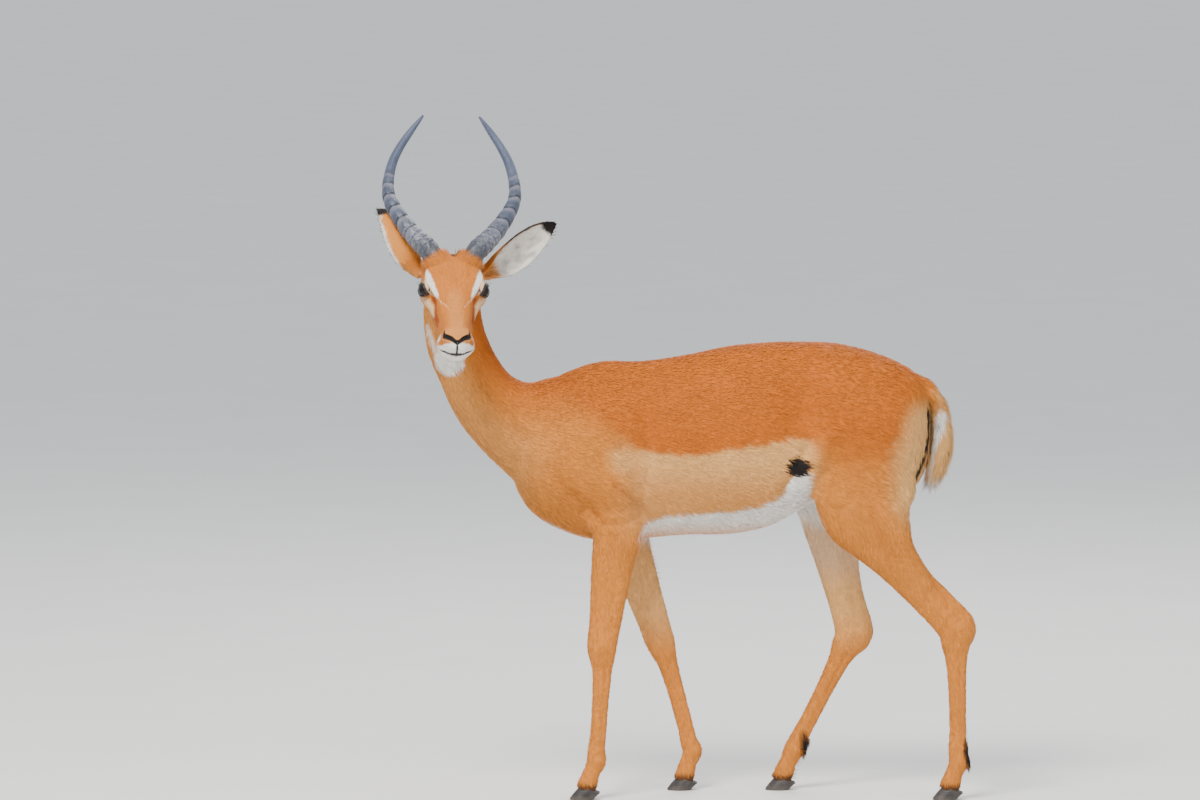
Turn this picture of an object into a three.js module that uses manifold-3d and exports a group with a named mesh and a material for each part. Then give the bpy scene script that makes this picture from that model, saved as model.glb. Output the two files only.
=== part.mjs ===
// Impala ram, life size, standing broadside with its head turned to its left.
// Millimetres. +Z is up, the animal faces -X, its left side is -Y, and the floor is z = 0.
import * as THREE from 'three';
import { mergeVertices } from 'three/addons/utils/BufferGeometryUtils.js';
import Module from 'manifold-3d';

const wasm = await Module();
wasm.setup();

// ---------------------------------------------------------------- driving sizes

const CUT = 0.3; // gap left between neighbouring pieces
const MERGE = 0.001; // points closer than this are one
const FAR = 2000; // past the end of the animal on every side
const LEFT = -1;
const RIGHT = 1;

// Colours of the plain solids.
const COAT = { color: 0xc87a3c, roughness: 0.85, metalness: 0 };
const FACE = { color: 0xc9803f, roughness: 0.85, metalness: 0 };
const HORN = { color: 0x6b7077, roughness: 0.5, metalness: 0 };
const HOOF = { color: 0x26221f, roughness: 0.45, metalness: 0 };
const EYE = { color: 0x0d0f16, roughness: 0.08, metalness: 0 };

// The trunk, as cross sections along its length. Each row gives: place along X, height of
// the back, height of the belly, height of the widest level, half width there, then the
// roundness of the upper and lower halves (2 is an ellipse, more is squarer).
const TRUNK_RING = 24;
const TRUNK_SPANS = 23;
const TRUNK_CROWDING = 0.45; // how far the rings crowd towards both ends, from 0 to 1
const TRUNK = [
  // x, back, belly, level, half width, upper, lower
  [-372, 790, 640, 712, 42, 2.0, 2.0],
  [-340, 838, 590, 706, 74, 2.0, 2.0],
  [-280, 872, 551, 700, 92, 1.9, 2.0],
  [-200, 900, 530, 700, 101, 1.75, 2.3],
  [-110, 902, 534, 700, 106, 1.75, 2.4],
  [-20, 914, 541, 695, 115, 1.9, 2.3],
  [75, 933, 543, 690, 123, 2.0, 2.2],
  [155, 940, 560, 695, 121, 2.1, 2.2],
  [225, 941, 598, 715, 112, 2.2, 2.2],
  [290, 938, 628, 735, 113, 2.1, 2.2],
  [360, 922, 632, 745, 113, 2.0, 2.2],
  [425, 896, 634, 748, 97, 1.95, 2.2],
  [462, 870, 650, 752, 69, 1.95, 2.1],
  [484, 836, 700, 765, 32, 2.0, 2.0],
];

// The neck: centre line, depth from nape to throat, and width, from the shoulders up.
const NECK_RING = 18;
const NECK_SPANS = 14;
const NECK = [
  // x, y, z, depth, width
  [-215, 0, 725, 290, 150],
  [-315, 0, 752, 246, 146],
  [-384, 0, 781, 178, 116],
  [-432, -1, 823, 147, 98],
  [-466, -3, 880, 131, 92],
  [-490, -4, 936, 128, 96],
  [-500, -4, 990, 122, 102],
  [-500, -3, 1040, 115, 102],
  [-498, -18, 1078, 98, 90],
  [-497, -42, 1096, 66, 62],
];

// The head has a frame of its own: x to its right, y forwards along the face line, and z
// up out of the face. Its origin is on the brow, between the horns.
const BROW = new THREE.Vector3(-496.5, -100, 1127);
const HEAD_PITCH = 42; // how far the face line points below level
const HEAD_YAW = 4; // turned past square towards the tail
const HEAD_ROLL = 1.5;
const HEAD_RING = 22;
const HEAD_SPANS = 20;
const HEAD_CROWDING = 0.35; // how far the rings crowd towards the nose and the nape
const HEAD = [
  // y, top, bottom, level, half width, upper, lower
  [-64, -80, -122, -100, 22, 2.0, 2.0],
  [-50, -56, -131, -92, 44, 2.0, 2.0],
  [-28, -30, -134, -76, 55, 2.1, 2.2],
  [-8, -7, -132, -62, 59, 2.3, 2.3],
  [20, 3, -127, -50, 61, 2.5, 2.4],
  [50, 4, -118, -44, 61, 2.6, 2.4],
  [80, 0, -106, -44, 56, 2.5, 2.3],
  [110, -5, -95, -48, 47, 2.3, 2.2],
  [145, -7, -84, -50, 38, 2.2, 2.2],
  [178, -5, -79, -46, 32, 2.2, 2.2],
  [203, -3, -79, -43, 30, 2.3, 2.3],
  [220, -5, -79, -40, 29, 2.4, 2.4],
  [231, -11, -72, -38, 24, 2.3, 2.3],
  [239, -22, -56, -36, 12, 2.0, 2.0],
];

const EYE_RADIUS = 17;
const EYE_AROUND = 12;
const EYE_DOWN = 8;
const EYE_PLACE = new THREE.Vector3(55, 73, -29); // of the head's right eye, in its frame

// The horns: half spread, how far behind the brow, height over the brow, and radius.
const HORN_RING = 9;
const HORN_TOP_SPANS = 12; // along the smooth part
const HORN_LINE = [
  // spread, back, height, radius
  [30, 4, -20, 22],
  [50, 20, 8, 23],
  [68, 33, 24, 21.5],
  [87, 49, 43, 19.5],
  [105, 68, 65, 17.6],
  [118, 85, 84, 16],
  [128, 104, 104, 14.6],
  [131, 125, 126, 13.2],
  [128, 148, 151, 12],
  [119, 171, 181, 10.7],
  [103, 188, 211, 9.3],
  [82, 199, 241, 7.3],
  [58, 204, 273, 2.5],
];
const HORN_RIDGES = 7; // on the lower part
const HORN_RIDGES_FROM = 0.11; // along the horn
const HORN_RIDGES_TO = 0.64;
const HORN_RIDGE = 2.6; // how far the lowest ridge stands out
const HORN_RIDGE_FADE = 0.6; // how much of that is lost by the last one
const RIDGE_PROFILE = [[0, 0], [0.45, 1], [0.78, 0.7]]; // share of the pitch, share of the height
const HORN_FLAT = 0.9; // width over depth of the oval section

// The ears: base in the head's frame, then directions in the standing frame.
const EAR_ROWS = 11;
const EAR_ARC = 6;
const EAR_BOW = 9; // how far the ear's middle hangs below its straight line
const EAR_LIP = 0.97; // share of the outer arc that the inner one takes
const EARS = {
  ear_left: { base: [-60, -20, -84], tip: [158, 13, 107], open: [0.1, -0.93, -0.34] },
  ear_right: { base: [59, -20, -84], tip: [-94, 67, 131], open: [-0.6, 0.62, -0.46] },
};
const EAR_BODY = [
  // along, radius of the cup, half angle of the cup, wall
  [0.0, 12, 178, 11.8],
  [0.1, 17, 155, 8],
  [0.25, 27, 112, 3.2],
  [0.42, 34, 88, 2.6],
  [0.6, 37, 72, 2.2],
  [0.78, 32, 62, 1.9],
  [0.92, 20, 55, 1.6],
  [1.0, 6.5, 50, 1.4],
];

// The tail hangs against the rump.
const TAIL_RING = 10;
const TAIL_SPANS = 12;
const TAIL = [
  // x, y, z, depth, width
  [452, 0, 862, 32, 34],
  [482, 0, 848, 30, 34],
  [499, 0, 815, 31, 36],
  [508, -1, 770, 37, 40],
  [509, -3, 730, 39, 44],
  [502, -5, 692, 34, 40],
  [492, -7, 662, 24, 30],
  [483, -8, 640, 6, 8],
];

// Where each leg stands, as the centres of its joints.
const LEG_RING = 10;
const LEG_SPANS_A_ROW = 1.5;
const FORELEGS = {
  left: {
    shoulder: [-214, -60, 735],
    elbow: [-160, -68, 556],
    knee: [-188, -74, 316],
    fetlock: [-205, -76, 80],
    toe: [-222, -77, 30],
  },
  right: {
    shoulder: [-209, 60, 735],
    elbow: [-150, 68, 548],
    knee: [-68, 74, 312],
    fetlock: [-6, 76, 82],
    toe: [-20, 77, 30],
  },
};
const HINDLEGS = {
  left: {
    hip: [375, -44, 830],
    thigh: [338, -61, 715],
    stifle: [345, -80, 590],
    hock: [536, -78, 354],
    fetlock: [541, -78, 78],
    toe: [526, -78, 30],
  },
  right: {
    hip: [360, 44, 830],
    thigh: [332, 61, 715],
    stifle: [286, 80, 596],
    hock: [328, 80, 326],
    fetlock: [204, 80, 82],
    toe: [184, 80, 30],
  },
};

// Thickness down a leg: which joint it is measured from, the share of the way to the
// next joint, depth from front to rear, width, and how far the section sits rearwards.
const FORELEG_BODY = [
  ['shoulder', 0.0, 120, 36, 0],
  ['shoulder', 0.45, 136, 60, 0],
  ['shoulder', 0.75, 128, 66, 0],
  ['elbow', 0.0, 112, 64, 0],
  ['elbow', 0.22, 93, 56, -2],
  ['elbow', 0.5, 80, 47, -3],
  ['elbow', 0.78, 69, 42, -3],
  ['elbow', 0.93, 65, 43, -4],
  ['knee', 0.0, 64, 45, -4],
  ['knee', 0.1, 55, 40, -2],
  ['knee', 0.22, 43, 32, 0],
  ['knee', 0.5, 37, 28, 1],
  ['knee', 0.78, 36, 28, 1],
  ['knee', 0.93, 39, 33, 0],
  ['fetlock', 0.0, 43, 37, 2],
  ['fetlock', 0.45, 37, 35, 0],
  ['fetlock', 0.85, 42, 42, 0],
  ['fetlock', 1.25, 44, 44, 0],
];
const HINDLEG_BODY = [
  ['hip', 0.0, 110, 30, 0],
  ['hip', 0.5, 180, 62, 0],
  ['thigh', 0.0, 226, 94, 0],
  ['thigh', 0.5, 222, 94, 5],
  ['stifle', 0.0, 198, 86, 13],
  ['stifle', 0.2, 142, 73, -1],
  ['stifle', 0.4, 98, 60, -8],
  ['stifle', 0.6, 82, 50, -6],
  ['stifle', 0.8, 78, 44, 0],
  ['stifle', 0.93, 81, 44, 4],
  ['hock', 0.0, 80, 47, 3],
  ['hock', 0.1, 66, 45, 0],
  ['hock', 0.22, 48, 36, 0],
  ['hock', 0.45, 39, 30, 1],
  ['hock', 0.75, 37, 30, 1],
  ['hock', 0.92, 40, 34, 0],
  ['fetlock', 0.0, 44, 38, 2],
  ['fetlock', 0.45, 37, 35, 0],
  ['fetlock', 0.85, 43, 42, 0],
  ['fetlock', 1.25, 45, 44, 0],
];

// How the thigh's rear turns in, over these heights, in mm for each mm squared behind it.
const TURN_IN = { low: 540, high: 690, by: 0.0021 };

// Where the animal is parted. Points and directions are in the standing frame.
const NECK_BASE = [-305, 0, 752];
const NECK_BASE_WAY = [-0.92, 0, 0.4]; // towards the neck
const NAPE = [-498, -5, 1059];
const NAPE_WAY = [0, -0.71, 0.7]; // towards the head
const EAR_CUT = 0.16; // along the ear
const THIGH_FROM = 52; // the thigh takes the trunk's side from here outwards
const THIGH_OUTLINE = [
  // x, z
  [190, 560],
  [208, 680],
  [238, 738],
  [285, 780],
  [345, 806],
  [405, 806],
  [452, 770],
  [500, 700],
  [500, 560],
];
const HINDLEG_UNDER = [[150, -50], [150, 530], [225, 580], [275, 608], [700, 612], [700, -50]];
const FORELEG_OUTLINE = [[-500, -50], [-500, 526], [100, 526], [100, -50]];
const FOOT_ROOM = 60; // half size of the block that a foot is cut with

// A foot has two pointed claws side by side, on flat soles.
const CLAW = {
  length: 54,
  width: 21,
  between: 1.6,
  toeRise: 31, // height of the coronet over the toe
  heelRise: 17, // and over the heel
  lean: 17, // how far the top sits behind the sole
  balance: 0.62, // of the height, where it doesn't lean
  point: 0.42, // how much narrower the toe is
  pointing: 2.5, // how sharply that narrowing comes in
  toeSlope: 0.22, // how much shorter the front is at the top
  heel: 0.84, // length behind, as a share of the length ahead
  outerShare: 0.62, // of the width, on the outer side of the middle
  soleShare: 0.95, // of the size, at the very sole
  topNarrowing: 0.1,
};
const CORONET_SHARE = 0.75; // the coronet's length as a share of the claw's
const CLAW_RISES = [0, 0.06, 0.5, 1]; // rings from the sole to the coronet
const CLAW_RING = 10;

// Muscles and hollows: place on the animal's left, reach, and push. The right side mirrors.
const SWELLINGS = [
  { at: [-215, -100, 720], reach: [75, 60, 110], push: [0, -10, 0] }, // shoulder blade
  { at: [-265, -85, 640], reach: [48, 50, 62], push: [-3, -13, 0] }, // point of the shoulder
  { at: [-150, -90, 640], reach: [60, 50, 60], push: [0, -10, 0] }, // upper arm
  { at: [-90, -110, 740], reach: [42, 60, 90], push: [0, 7, 0] }, // behind the shoulder
  { at: [60, -125, 690], reach: [130, 60, 90], push: [0, -4, 0] }, // ribs
  { at: [222, -110, 800], reach: [46, 60, 70], push: [0, 15, 0] }, // hollow of the flank
  { at: [350, -110, 800], reach: [90, 60, 70], push: [0, -5, 0] }, // rump
  { at: [285, -95, 885], reach: [42, 50, 34], push: [0, -6, 4] }, // point of the hip
];

// ---------------------------------------------------------------- shared shapes

const radians = THREE.MathUtils.degToRad;

// Smooth curves through the columns of a table, by its first column.
function columns(table) {
  const places = table.map((row) => row[0]);
  const values = table.flatMap((row) => row.slice(1));
  const width = table[0].length - 1;
  const curve = new THREE.CubicInterpolant(places, values, width, new Float32Array(width));
  return (place) => Array.from(curve.evaluate(place));
}

// Points of an oval ring. Its upper and lower halves have their own height and roundness.
function oval({ centre, side, up, half, rise, drop, upper = 2, lower = 2 }, count) {
  const points = [];
  for (let i = 0; i < count; i += 1) {
    const turn = (i / count) * Math.PI * 2;
    const c = Math.cos(turn);
    const s = Math.sin(turn);
    const power = 2 / (s > 0 ? upper : lower);
    const along = half * Math.sign(c) * Math.abs(c) ** power;
    const height = (s > 0 ? rise : drop) * Math.sign(s) * Math.abs(s) ** power;
    points.push(centre.clone().addScaledVector(side, along).addScaledVector(up, height));
  }
  return points;
}

// A closed skin over rings of equal count, with a pole at each end.
function loft(rings) {
  const count = rings[0].length;
  const middle = (ring) =>
    ring.reduce((sum, p) => sum.add(p), new THREE.Vector3()).multiplyScalar(1 / count);
  const points = [...rings.flat(), middle(rings[0]), middle(rings[rings.length - 1])];
  const first = points.length - 2;
  const last = points.length - 1;
  const index = [];
  for (let r = 0; r < rings.length - 1; r += 1) {
    for (let i = 0; i < count; i += 1) {
      const a = r * count + i;
      const b = r * count + ((i + 1) % count);
      index.push(a, b, b + count, a, b + count, a + count);
    }
  }
  const end = (rings.length - 1) * count;
  for (let i = 0; i < count; i += 1) {
    const j = (i + 1) % count;
    index.push(first, j, i, last, end + i, end + j);
  }
  return solid(points, index);
}

// A manifold from points and triangles, turned right side out if need be.
function solid(points, index) {
  const vertProperties = new Float32Array(points.flatMap((p) => [p.x, p.y, p.z]));
  const build = (triVerts) =>
    new wasm.Manifold(new wasm.Mesh({ numProp: 3, vertProperties, triVerts }));
  const body = build(new Uint32Array(index));
  if (body.volume() > 0) return body;
  return build(new Uint32Array(index).reverse());
}

// A manifold from one of three.js's own closed geometries.
function fromGeometry(geometry) {
  geometry.deleteAttribute('normal');
  geometry.deleteAttribute('uv');
  const merged = mergeVertices(geometry, MERGE);
  const place = merged.getAttribute('position');
  const points = [];
  for (let i = 0; i < place.count; i += 1) {
    points.push(new THREE.Vector3().fromBufferAttribute(place, i));
  }
  return solid(points, Array.from(merged.index.array));
}

// A right prism: an outline in the side view, from one Y to another.
function prism(outline, fromY, toY) {
  const shape = new THREE.Shape(outline.map(([x, z]) => new THREE.Vector2(x, z)));
  const block = new THREE.ExtrudeGeometry(shape, { depth: toY - fromY, bevelEnabled: false });
  block.rotateX(Math.PI / 2);
  block.translate(0, toY, 0);
  return fromGeometry(block);
}

// The half space on one side of a plane, as a large block. The normal points into it.
function beyond(point, normal, gap = 0) {
  const block = new THREE.BoxGeometry(FAR, FAR, FAR);
  block.translate(0, 0, FAR / 2 + gap);
  const turn = new THREE.Quaternion().setFromUnitVectors(
    new THREE.Vector3(0, 0, 1),
    normal.clone().normalize(),
  );
  block.applyQuaternion(turn);
  block.translate(point.x, point.y, point.z);
  return fromGeometry(block);
}

// Splits a body at a plane, leaving the thin cut between the two pieces.
function part(body, point, normal) {
  const back = normal.clone().negate();
  return {
    ahead: body.intersect(beyond(point, normal, CUT / 2)),
    behind: body.intersect(beyond(point, back, CUT / 2)),
  };
}

// A body swept along a line of centres given by rows of x, y, z, depth, width.
function sweep(rows, spans, count, aside) {
  const line = new THREE.CatmullRomCurve3(
    rows.map(([x, y, z]) => new THREE.Vector3(x, y, z)),
    false,
    'centripetal',
  );
  const sizes = columns(rows.map(([, , , depth, width], i) => [i, depth, width]));
  const rings = [];
  for (let i = 0; i <= spans; i += 1) {
    const place = i / spans;
    const [depth, width] = sizes(place * (rows.length - 1));
    const centre = line.getPoint(place);
    const ahead = line.getTangent(place);
    const side = aside(place).clone().addScaledVector(ahead, -ahead.dot(aside(place)));
    side.normalize();
    const up = new THREE.Vector3().crossVectors(side, ahead).normalize();
    rings.push(oval({ centre, side, up, half: width / 2, rise: depth / 2, drop: depth / 2 }, count));
  }
  return rings;
}

// ---------------------------------------------------------------- trunk, neck and tail

function swell(point) {
  const out = point.clone();
  for (const { at, reach, push } of SWELLINGS) {
    for (const flank of [LEFT, RIGHT]) {
      const gap = [0, 1, 2].map((k) => {
        const middle = k === 1 ? -at[1] * flank : at[k];
        return (point.getComponent(k) - middle) / reach[k];
      });
      const share = Math.exp(-gap.reduce((sum, g) => sum + g * g, 0));
      out.x += push[0] * share;
      out.y += -push[1] * flank * share;
      out.z += push[2] * share;
    }
  }
  return out;
}

function makeTrunk() {
  const at = columns(TRUNK);
  const start = TRUNK[0][0];
  const length = TRUNK[TRUNK.length - 1][0] - start;
  const side = new THREE.Vector3(0, 1, 0);
  const up = new THREE.Vector3(0, 0, 1);
  const rings = [];
  for (let i = 0; i <= TRUNK_SPANS; i += 1) {
    const share = 0.5 - 0.5 * Math.cos((i / TRUNK_SPANS) * Math.PI);
    const x = start + length * THREE.MathUtils.lerp(i / TRUNK_SPANS, share, TRUNK_CROWDING);
    const [back, belly, level, half, upper, lower] = at(x);
    const centre = new THREE.Vector3(x, 0, level);
    const ring = { centre, side, up, half, rise: back - level, drop: level - belly, upper, lower };
    rings.push(oval(ring, TRUNK_RING).map(swell));
  }
  return loft(rings);
}

function makeNeck() {
  const side = new THREE.Vector3(0, 1, 0);
  return loft(sweep(NECK, NECK_SPANS, NECK_RING, () => side));
}

function makeTail(grow = 0) {
  const side = new THREE.Vector3(0, 1, 0);
  const rows = TAIL.map(([x, y, z, depth, width]) => [x, y, z, depth + 2 * grow, width + 2 * grow]);
  rows[0][0] -= grow;
  return loft(sweep(rows, TAIL_SPANS, TAIL_RING, () => side));
}

// ---------------------------------------------------------------- head

// Directions of the head's own frame in the standing one.
function headAxes() {
  const yaw = radians(HEAD_YAW);
  const pitch = radians(HEAD_PITCH);
  const roll = radians(HEAD_ROLL);
  const level = new THREE.Vector3(Math.sin(yaw), -Math.cos(yaw), 0);
  const upright = new THREE.Vector3(0, 0, 1);
  const across = new THREE.Vector3().crossVectors(level, upright);
  const forward = level.clone().multiplyScalar(Math.cos(pitch));
  forward.addScaledVector(upright, -Math.sin(pitch));
  const rise = level.clone().multiplyScalar(Math.sin(pitch));
  rise.addScaledVector(upright, Math.cos(pitch));
  const right = across.clone().multiplyScalar(Math.cos(roll)).addScaledVector(rise, Math.sin(roll));
  const up = rise.clone().multiplyScalar(Math.cos(roll)).addScaledVector(across, -Math.sin(roll));
  return { right, forward, up, level, across };
}

const AXES = headAxes();
const HEAD_FRAME = new THREE.Matrix4()
  .makeBasis(AXES.right, AXES.forward, AXES.up)
  .setPosition(BROW);

// Forms of the head: place on its right side, reach, push, all in the head's frame.
const FEATURES = [
  { at: [40, 0, 2], reach: [22, 24, 20], push: [6, -6, 13] }, // horn root
  { at: [57, 67, -9], reach: [20, 27, 16], push: [12, 0, 4] }, // brow over the eye
  { at: [60, 76, -52], reach: [20, 30, 16], push: [11, 0, 0] }, // cheek bone
  { at: [36, 112, -30], reach: [18, 20, 16], push: [-5, 0, 0] }, // hollow before the eye
  { at: [50, 24, -88], reach: [22, 46, 30], push: [5, 0, 0] }, // jaw muscle
  { at: [24, 216, -24], reach: [12, 13, 13], push: [3.5, 1, 3] }, // nostril wing
  { at: [27, 208, -52], reach: [16, 22, 13], push: [11, 0, 0] }, // upper lip
  { at: [0, 218, -72], reach: [20, 14, 12], push: [0, 2, -2] }, // chin
];

function shapeFace(point) {
  const out = point.clone();
  for (const { at, reach, push } of FEATURES) {
    for (const flank of at[0] ? [LEFT, RIGHT] : [RIGHT]) {
      const gap = [
        (point.x - at[0] * flank) / reach[0],
        (point.y - at[1]) / reach[1],
        (point.z - at[2]) / reach[2],
      ];
      const share = Math.exp(-gap.reduce((sum, g) => sum + g * g, 0));
      out.x += push[0] * flank * share;
      out.y += push[1] * share;
      out.z += push[2] * share;
    }
  }
  return out;
}

function makeHead() {
  const at = columns(HEAD);
  const start = HEAD[0][0];
  const length = HEAD[HEAD.length - 1][0] - start;
  const side = new THREE.Vector3(1, 0, 0);
  const up = new THREE.Vector3(0, 0, 1);
  const rings = [];
  for (let i = 0; i <= HEAD_SPANS; i += 1) {
    const share = 0.5 - 0.5 * Math.cos((i / HEAD_SPANS) * Math.PI);
    const y = start + length * THREE.MathUtils.lerp(i / HEAD_SPANS, share, HEAD_CROWDING);
    const [top, bottom, level, half, upper, lower] = at(y);
    const centre = new THREE.Vector3(0, y, level);
    const ring = { centre, side, up, half, rise: top - level, drop: level - bottom, upper, lower };
    const points = oval(ring, HEAD_RING).map(shapeFace);
    rings.push(points.map((p) => p.applyMatrix4(HEAD_FRAME)));
  }
  return loft(rings);
}

function eyeball(flank, radius) {
  const place = EYE_PLACE.clone();
  place.x *= flank;
  const ball = new THREE.SphereGeometry(radius, EYE_AROUND, EYE_DOWN);
  ball.rotateZ(Math.PI / 2);
  const middle = place.applyMatrix4(HEAD_FRAME);
  ball.translate(middle.x, middle.y, middle.z);
  return fromGeometry(ball);
}

// A place given by spread to the side, distance behind the brow, and height over it.
function aboutBrow(spread, back, height) {
  const tilt = radians(HEAD_ROLL);
  const across = AXES.across.clone().multiplyScalar(Math.cos(tilt));
  across.z += Math.sin(tilt);
  const upright = new THREE.Vector3(0, 0, Math.cos(tilt)).addScaledVector(AXES.across, -Math.sin(tilt));
  return BROW.clone()
    .addScaledVector(across, spread)
    .addScaledVector(AXES.level, -back)
    .addScaledVector(upright, height);
}

// Places along a horn with the height of its surface over the plain taper: a few rings
// at the root, three to each ridge, and even spans to the tip.
function hornStations() {
  const stations = [[0, 0], [HORN_RIDGES_FROM / 2, 0]];
  const pitch = (HORN_RIDGES_TO - HORN_RIDGES_FROM) / HORN_RIDGES;
  for (let ridge = 0; ridge < HORN_RIDGES; ridge += 1) {
    const height = HORN_RIDGE * (1 - (HORN_RIDGE_FADE * ridge) / HORN_RIDGES);
    for (const [share, rise] of RIDGE_PROFILE) {
      stations.push([HORN_RIDGES_FROM + pitch * (ridge + share), height * rise]);
    }
  }
  for (let i = 0; i <= HORN_TOP_SPANS; i += 1) {
    stations.push([THREE.MathUtils.lerp(HORN_RIDGES_TO, 1, i / HORN_TOP_SPANS), 0]);
  }
  return stations;
}

function makeHorn(flank, grow = 0) {
  const places = HORN_LINE.map(([spread, back, height]) => aboutBrow(spread * flank, back, height));
  const line = new THREE.CatmullRomCurve3(places, false, 'centripetal');
  const radii = columns(HORN_LINE.map((row, i) => [i, row[3]]));
  const rings = hornStations().map(([place, ridge]) => {
    const radius = radii(place * (HORN_LINE.length - 1))[0] + ridge + grow;
    const centre = line.getPoint(place);
    const ahead = line.getTangent(place);
    if (place === 0) centre.addScaledVector(ahead, -grow);
    const side = AXES.across.clone().addScaledVector(ahead, -AXES.across.dot(ahead)).normalize();
    const up = new THREE.Vector3().crossVectors(side, ahead).normalize();
    return oval({ centre, side, up, half: radius * HORN_FLAT, rise: radius, drop: radius }, HORN_RING);
  });
  return loft(rings);
}

// An ear: a cup of changing radius and opening along its length, solid at the base.
function makeEar({ base, tip, open }) {
  const root = new THREE.Vector3(...base).applyMatrix4(HEAD_FRAME);
  const reach = new THREE.Vector3(...tip);
  const ahead = reach.clone().normalize();
  const mouth = new THREE.Vector3(...open);
  mouth.addScaledVector(ahead, -mouth.dot(ahead)).normalize();
  const side = new THREE.Vector3().crossVectors(ahead, mouth).normalize();
  const hang = side.z > 0 ? side.clone().negate() : side;
  const at = columns(EAR_BODY);
  const rings = [];
  for (let r = 0; r < EAR_ROWS; r += 1) {
    const place = r / (EAR_ROWS - 1);
    const [radius, half, wall] = at(place);
    const centre = root.clone().addScaledVector(reach, place);
    centre.addScaledVector(hang, EAR_BOW * Math.sin(place * Math.PI));
    const rim = (angle, size) =>
      centre
        .clone()
        .addScaledVector(side, Math.sin(angle) * size)
        .addScaledVector(mouth, -Math.cos(angle) * size);
    const ring = [];
    for (let i = 0; i <= EAR_ARC; i += 1) {
      ring.push(rim(radians(half) * ((2 * i) / EAR_ARC - 1), radius));
    }
    for (let i = EAR_ARC; i >= 0; i -= 1) {
      ring.push(rim(radians(half * EAR_LIP) * ((2 * i) / EAR_ARC - 1), radius - wall));
    }
    rings.push(ring);
  }
  return loft(rings);
}

// ---------------------------------------------------------------- legs and feet

// The rear of the thigh turns in towards the tail.
function turnIn(ring, flank) {
  const middle = ring.reduce((sum, p) => sum + p.x, 0) / ring.length;
  return ring.map((p) => {
    const behind = Math.max(p.x - middle, 0);
    const share = THREE.MathUtils.smoothstep(p.z, TURN_IN.low, TURN_IN.high);
    return new THREE.Vector3(p.x, p.y - flank * TURN_IN.by * behind ** 2 * share, p.z);
  });
}

// Follows a leg's joints with a body of changing depth and width.
function makeLeg(joints, order, body) {
  const rows = [];
  for (const [name, share, depth, width, rearward] of body) {
    const here = new THREE.Vector3(...joints[name]);
    const next = order[Math.min(order.indexOf(name) + 1, order.length - 1)];
    const there = new THREE.Vector3(...joints[next]);
    const place = here.lerp(there, share);
    rows.push([place.x + rearward, place.y, place.z, depth, width]);
  }
  const side = new THREE.Vector3(0, 1, 0);
  const rings = sweep(rows, Math.round((rows.length - 1) * LEG_SPANS_A_ROW), LEG_RING, () => side);
  const hind = order.includes('thigh');
  return loft(hind ? rings.map((ring) => turnIn(ring, Math.sign(joints.toe[1]))) : rings);
}

// The sloping plane where the hair ends and the claws begin.
function coronet(toe) {
  const middle = new THREE.Vector3(toe[0], toe[1], (CLAW.toeRise + CLAW.heelRise) / 2);
  const slope = Math.atan2(CLAW.toeRise - CLAW.heelRise, CLAW.length * CORONET_SHARE);
  return { middle, normal: new THREE.Vector3(Math.sin(slope), 0, Math.cos(slope)), slope };
}

// One claw: rings from the flat sole to the coronet. The outline is pointed in front,
// round behind, full on its outer side and nearly straight next to the other claw.
function makeClaw(toe, flank) {
  const { middle, slope } = coronet(toe);
  const rings = [];
  const innerShare = 1 - CLAW.outerShare;
  for (const rise of CLAW_RISES) {
    const spread = rise === 0 ? CLAW.soleShare : 1 - CLAW.topNarrowing * rise;
    const front = 1 - CLAW.toeSlope * rise;
    const ring = [];
    for (let i = 0; i < CLAW_RING; i += 1) {
      const turn = (i / CLAW_RING) * Math.PI * 2;
      const forward = Math.cos(turn);
      const outward = Math.sin(turn);
      const point = forward > 0 ? 1 - CLAW.point * forward ** CLAW.pointing : 1;
      const full = outward > 0 ? CLAW.outerShare : innerShare;
      const length = (CLAW.length / 2) * (forward > 0 ? front : CLAW.heel) * spread;
      const x = middle.x - forward * length + CLAW.lean * (rise - CLAW.balance);
      const across = CLAW.between / 2 + CLAW.width * (innerShare + full * outward * point * spread);
      const top = middle.z - CUT - Math.tan(slope) * (x - middle.x);
      ring.push(new THREE.Vector3(x, middle.y + flank * across, top * rise));
    }
    rings.push(ring);
  }
  return loft(rings);
}

// ---------------------------------------------------------------- the whole animal

const group = new THREE.Group();

function add(name, body, finish) {
  const mesh = body.getMesh();
  const geometry = new THREE.BufferGeometry();
  geometry.setAttribute('position', new THREE.BufferAttribute(mesh.vertProperties, 3));
  geometry.setIndex(new THREE.BufferAttribute(mesh.triVerts, 1));
  geometry.computeVertexNormals();
  const piece = new THREE.Mesh(geometry, new THREE.MeshStandardMaterial(finish));
  piece.name = name;
  group.add(piece);
}

// A region drawn back from its own border, by shifting it in from both ends and the top.
function drawnBack(region) {
  return region
    .intersect(region.translate([CUT, 0, -CUT]))
    .intersect(region.translate([-CUT, 0, -CUT]));
}

// The space of one hind leg: all of its side under the groin, and the outer thigh above.
function hindlegSpace(flank, inset) {
  const inner = flank * (CUT / 2 + inset);
  const outer = flank * (THIGH_FROM + inset);
  const far = flank * FAR / 2;
  const low = prism(HINDLEG_UNDER, Math.min(inner, far), Math.max(inner, far));
  const thigh = prism(THIGH_OUTLINE, Math.min(outer, far), Math.max(outer, far));
  const region = low.add(thigh);
  return inset ? drawnBack(region) : region;
}

function forelegSpace(flank, inset) {
  const inner = flank * (CUT / 2 + inset);
  const far = flank * FAR / 2;
  const region = prism(FORELEG_OUTLINE, Math.min(inner, far), Math.max(inner, far));
  return inset ? drawnBack(region) : region;
}

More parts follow.
